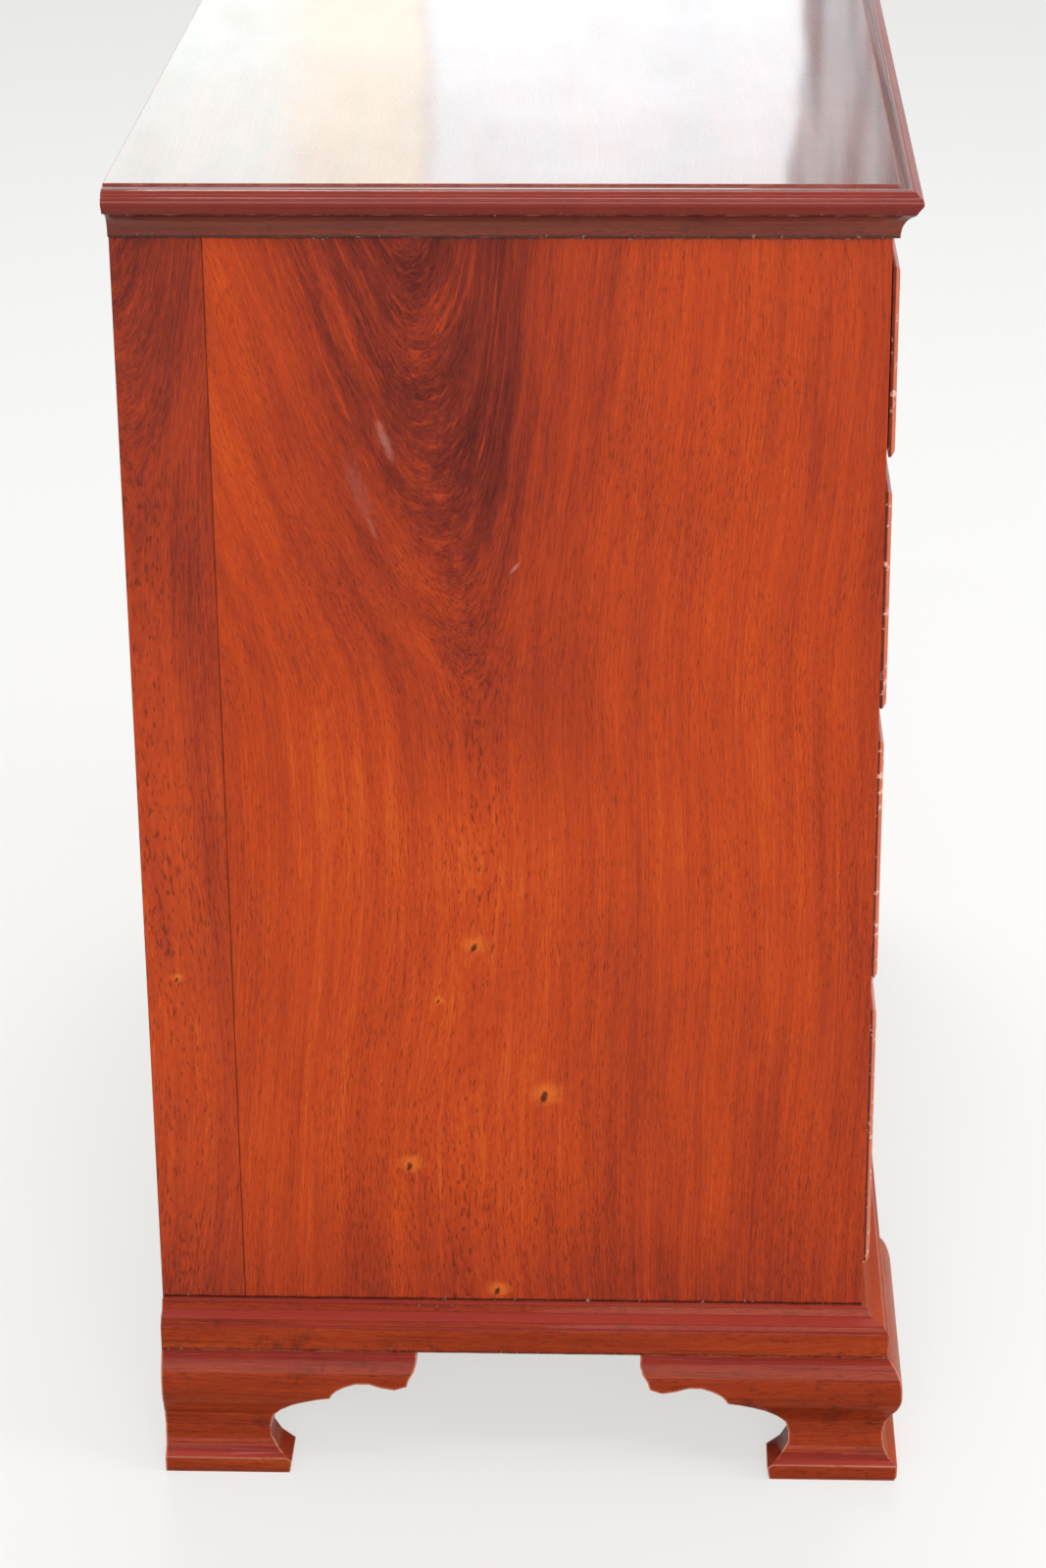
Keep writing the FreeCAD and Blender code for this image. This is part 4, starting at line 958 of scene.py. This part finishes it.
def make_bail():
    """A swan-necked rod that hangs from pins in its two posts, bent from one half and mirrored."""
    pin_start = POST_SPACING / 2 - POST_BALL
    shoulder = POST_SPACING / 2 + BAIL_SHOULDER
    collar = POST_SPACING / 2 + POST_BALL + COLLAR_GAP
    stepped = collar + COLLAR_STEP
    bail = start_disc("bail", PIN_RADIUS, (pin_start, 0.0, 0.0), ABOUT_Y, 16)
    draw_out((collar - pin_start, 0.0, 0.0), 1.0, ORIGIN)
    draw_out((COLLAR_STEP, 0.0, 0.0), BAIL_RADIUS / PIN_RADIUS, (stepped, 0.0, 0.0))
    draw_out((shoulder - stepped, 0.0, 0.0), 1.0, ORIGIN)
    x, z, heading = shoulder, 0.0, 0.0
    for radius, degrees, hand in BAIL_BENDS:
        angle = math.radians(degrees)
        centre = (x + hand * radius * math.sin(heading), z - hand * radius * math.cos(heading))
        bpy.ops.mesh.spin(steps=max(4, round(degrees / 10)), angle=angle, center=(centre[0], 0.0, centre[1]),
                          axis=(0.0, -1.0 * hand, 0.0))
        heading -= hand * angle
        x = centre[0] - hand * radius * math.sin(heading)
        z = centre[1] + hand * radius * math.cos(heading)
    draw_out((-x, 0.0, 0.0), 1.0, ORIGIN)
    bpy.ops.mesh.delete(type="ONLY_FACE")
    leave_mesh()
    twin = bail.modifiers.new("other_half", "MIRROR")
    twin.use_clip = True
    twin.merge_threshold = 0.0001
    apply_all(bail)
    open_up(bail)
    return close_up(bail)


def make_nail():
    """A flattened nail head, its middle at the origin and its crown towards +Y."""
    nail = start_disc("nail_head", NAIL_RADIUS, (0.0, -NAIL_IN, 0.0), ABOUT_X, 10)
    draw_out((0.0, NAIL_IN, 0.0), 1.0, ORIGIN)
    draw_out((0.0, 0.6 * NAIL_HEAD, 0.0), 0.85, (0.0, 0.6 * NAIL_HEAD, 0.0))
    draw_out((0.0, 0.4 * NAIL_HEAD, 0.0), 0.5, (0.0, NAIL_HEAD, 0.0))
    return close_up(nail)


def another(master, name, at):
    """A copy with its own mesh, set down at a place."""
    piece = copy_of(master, name)
    open_up(piece)
    bpy.ops.transform.translate(value=at)
    leave_mesh()
    return piece


# --- the case
def dress_case(node, name, material, edge, above=ARRIS, curve=0.0, foot=False):
    finish_with(dressed_copy(node, name, edge, above, curve, foot), material, "case")


for hand, finish in (("left", plumed_side), ("right", plain_side)):
    dress_case(f"side_{hand}_board", f"side_{hand}_broad_board", finish, 0.0004)
    dress_case(f"side_{hand}_rear_board", f"side_{hand}_narrow_board", rear_strip, 0.0004)
dress_case("top_board", "moulded_top", top_finish, 0.0005)
dress_case("cove_moulding", "cove_run", cove_finish, 0.0003, MOULDED_ARRIS, curve=0.0020)
dress_case("base_moulding", "base_run", moulding_finish, 0.0003, MOULDED_ARRIS, curve=0.0018)
for place in ("front_left", "front_right", "rear_left", "rear_right"):
    dress_case(f"foot_{place}", f"ogee_foot_{place}", foot_finish, 0.0006, MOULDED_ARRIS,
               foot=True)
for node in ("top_rail", "blade_1", "blade_2", "blade_3", "bottom_rail"):
    dress_case(node, f"blocked_{node}", rail_finish, 0.0004)
# the glue blocks touch one another, so their arrises stay sharp
for node, finish, edge in (("bottom_board", pine_along_x, 0.0006), ("back_boards", pine_along_x, 0.0006),
                           ("drawer_runners", pine_along_y, 0.0006), ("foot_glue_blocks", pine_upright, 0.0)):
    dress_case(node, f"bare_{node}", finish, edge)

# --- the drawers
for n in DRAWERS:
    for part, name, finish, slot, body, edge in (
            ("front", "blocked_front", front_finish, "mahogany", "", 0.0004),
            ("sides", "side_boards", poplar, "poplar", "", 0.0005),
            ("back", "back_board", pine_along_x, "pine", "", 0.0005),
            ("bottom", "bottom_panel", pine_along_x, "pine", "", 0.0005),
            ("lock", "lock_case", brass, "brass", "", 0.0004),
            ("bolt", "lock_bolt", iron, "iron", "_bolt", 0.0004)):
        piece = dressed_copy(f"drawer_{n}_{part}", f"drawer_{n}_{name}", edge)
        finish_with(piece, finish, f"drawer_{n}{body}")

# --- pulls, keyhole plates and nails
masters = make_back_plate(), make_key_plate(), make_post(), make_nut(), make_bail(), make_nail()
back_plate, key_plate, post, nut, bail_master, nail = masters
pin_places = {joint["child"]: joint["pos_m"] for joint in frame["joints"] if "_bail_" in joint["child"]}


def place_brass(master, name, at, body, node):
    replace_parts(finish_with(another(master, name, at), brass, body), node)


for n in DRAWERS:
    body = f"drawer_{n}"
    for bail in (f"{body}_bail_left", f"{body}_bail_right"):
        x, y, z = pin_places[bail]
        place_brass(bail_master, f"{bail}_swan_neck", (x, y, z), bail, bail)
        place_brass(back_plate, f"{bail}_back_plate", (x, y + POST_STANDOFF, z), body, f"{body}_plates")
        for side, which in ((-1, "a"), (1, "b")):
            at = (x + side * POST_SPACING / 2, y, z)
            place_brass(post, f"{bail}_post_{which}", at, body, f"{body}_posts")
            finish_with(another(nut, f"{bail}_nut_{which}", at), brass, body)
    lock_low, lock_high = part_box(f"{body}_lock")
    eye = (0.0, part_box(f"{body}_plates")[1].y, (lock_low.z + lock_high.z) / 2 - KEYHOLE_BELOW_LOCK_MIDDLE)
    place_brass(key_plate, f"{body}_keyhole_plate", eye, body, f"{body}_plates")

board_low, board_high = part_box("back_boards")
board_pitch = (board_high.z - board_low.z) / 3
for row in range(3):
    for share in (0.14, 0.5, 0.86):
        height = board_low.z + (row + share) * board_pitch
        for side, hand in ((-1, "left"), (1, "right")):
            at = (side * (board_high.x - NAIL_FROM_EDGE), board_high.y, height)
            head = another(nail, f"back_nail_{hand}_{row}_{round(100 * share)}", at)
            finish_with(head, iron, "case")
for master in masters:
    bpy.data.objects.remove(master)


# --- floor, light and camera
def seen_directly(tree):
    """1 for rays from the camera, off polished faces and through glass."""
    path = tree.nodes.new("ShaderNodeLightPath").outputs
    shown = calc(tree, "MAXIMUM", path["Is Camera Ray"], path["Is Glossy Ray"])
    return calc(tree, "MAXIMUM", shown, path["Is Transmission Ray"])


def add_plane(name, size, material):
    set_down()
    bpy.ops.mesh.primitive_plane_add(size=size, location=ORIGIN)
    plane = bpy.context.object
    plane.name = name
    plane.data.materials.append(material)
    return plane


def make_floor():
    material, tree = blank_material("pale_floor")
    matte = add(tree, "BsdfDiffuse", {"Color": (0.33, 0.33, 0.33, 1.0)})
    strength = times(tree, seen_directly(tree), 0.605)
    glow = add(tree, "Emission", {"Color": (0.985, 0.985, 0.965, 1.0), "Strength": strength})
    show(tree, add(tree, "AddShader", {0: matte.outputs[0], 1: glow.outputs[0]}))
    floor = add_plane("studio_floor", 60.0, material)


def make_sky():
    world = bpy.data.worlds.new("pale_studio")
    bpy.context.scene.world = world
    world.use_nodes = True
    tree = world.node_tree
    tree.nodes.clear()
    strength = fade(tree, seen_directly(tree), 0.0, 1.0, 0.45, 1.0)
    show(tree, add(tree, "Background", {"Color": (0.97, 0.98, 1.0, 1.0), "Strength": strength}), "World")


def soft_lamp(name, at, towards, size, power, depth=None):
    data = bpy.data.lights.new(name, "AREA")
    data.shape = "RECTANGLE"
    data.size = size
    data.size_y = depth or size
    data.energy = power
    data.color = (1.0, 0.98, 0.95)
    lamp = bpy.data.objects.new(name, data)
    bpy.context.scene.collection.objects.link(lamp)
    lamp.location = at
    lamp.rotation_euler = (Vector(towards) - Vector(at)).to_track_quat("-Z", "Y").to_euler()


def make_window_card():
    """Bright windows behind the chest, which only polished faces see: cream and white."""
    material, tree = blank_material("window_light")
    place = object_place(tree)
    y = plus(tree, split(tree, place)[1], scaled(tree, noise(tree, place, 7.0, 5.0, 0.6), 0.14, -0.07))
    colour = blend_colour(tree, fade(tree, y, 0.44, 0.50), (0.88, 0.97, 1.0, 1.0), (0.93, 0.92, 0.80, 1.0))
    colour = blend_colour(tree, fade(tree, y, 0.66, 0.86), colour, (0.85, 0.97, 0.95, 1.0))
    # the windows, with a darker column between two of them and faint feathers, and a dim wall beyond
    column = fade(tree, size_of(tree, minus(tree, y, 0.47)), 0.0, 0.035, 0.35, 0.0)
    feathers = noise(tree, stretched(tree, place, (0.0, 5.0, 26.0)), 1.0, 4.0)
    column = plus(tree, column, fade(tree, feathers, 0.56, 0.74, 0.0, 0.5))
    streaks = noise(tree, stretched(tree, place, (0.0, 22.0, 1.5)), 1.0, 2.0)
    wall = times(tree, fade(tree, streaks, 0.38, 0.62, 0.55, 1.3), fade(tree, y, -0.60, -0.50, 0.5, 1.0))
    bright = fade(tree, y, -0.36, -0.33)
    strength = plus(tree, times(tree, minus(tree, 2.75, column), bright),
                    times(tree, wall, minus(tree, 1.0, bright)))
    show(tree, add(tree, "Emission", {"Color": colour, "Strength": strength}))
    card = add_plane("window_card", 1.0, material)
    open_up(card)
    bpy.ops.transform.resize(value=(1.4, 3.8, 1.0))
    bpy.ops.transform.rotate(value=ABOUT_Y[1], orient_axis="Y", center_override=ORIGIN)
    bpy.ops.transform.translate(value=(6.0, 1.0, 2.3))
    leave_mesh()
    card.visible_camera = card.visible_diffuse = card.visible_shadow = False


def make_camera():
    data = bpy.data.cameras.new("eye")
    data.lens = 89.79
    data.sensor_width = 36.0
    data.clip_start, data.clip_end = 0.05, 100.0
    eye = bpy.data.objects.new("eye", data)
    bpy.context.scene.collection.objects.link(eye)
    eye.location = (-2.5242, -0.0855, 1.3547)
    eye.rotation_euler = [math.radians(a) for a in (66.881, 0.490, -87.832)]
    bpy.context.scene.camera = eye


make_floor()
make_sky()
soft_lamp("key", (-3.8, -0.3, 1.5), (0.0, 0.0, 0.45), 2.2, 77.0)
soft_lamp("overhead", (1.3, 0.0, 3.8), (0.0, 0.0, 0.0), 1.3, 80.0)
soft_lamp("front_fill", (-1.2, -3.4, 1.4), (0.0, 0.0, 0.4), 1.6, 62.0)
soft_lamp("gleam", (-1.7, 0.0, 3.1), (-0.45, 0.0, 0.5), 2.4, 12.0, depth=0.12)
make_window_card()
make_camera()

bpy.context.scene.view_settings.view_transform = "Standard"
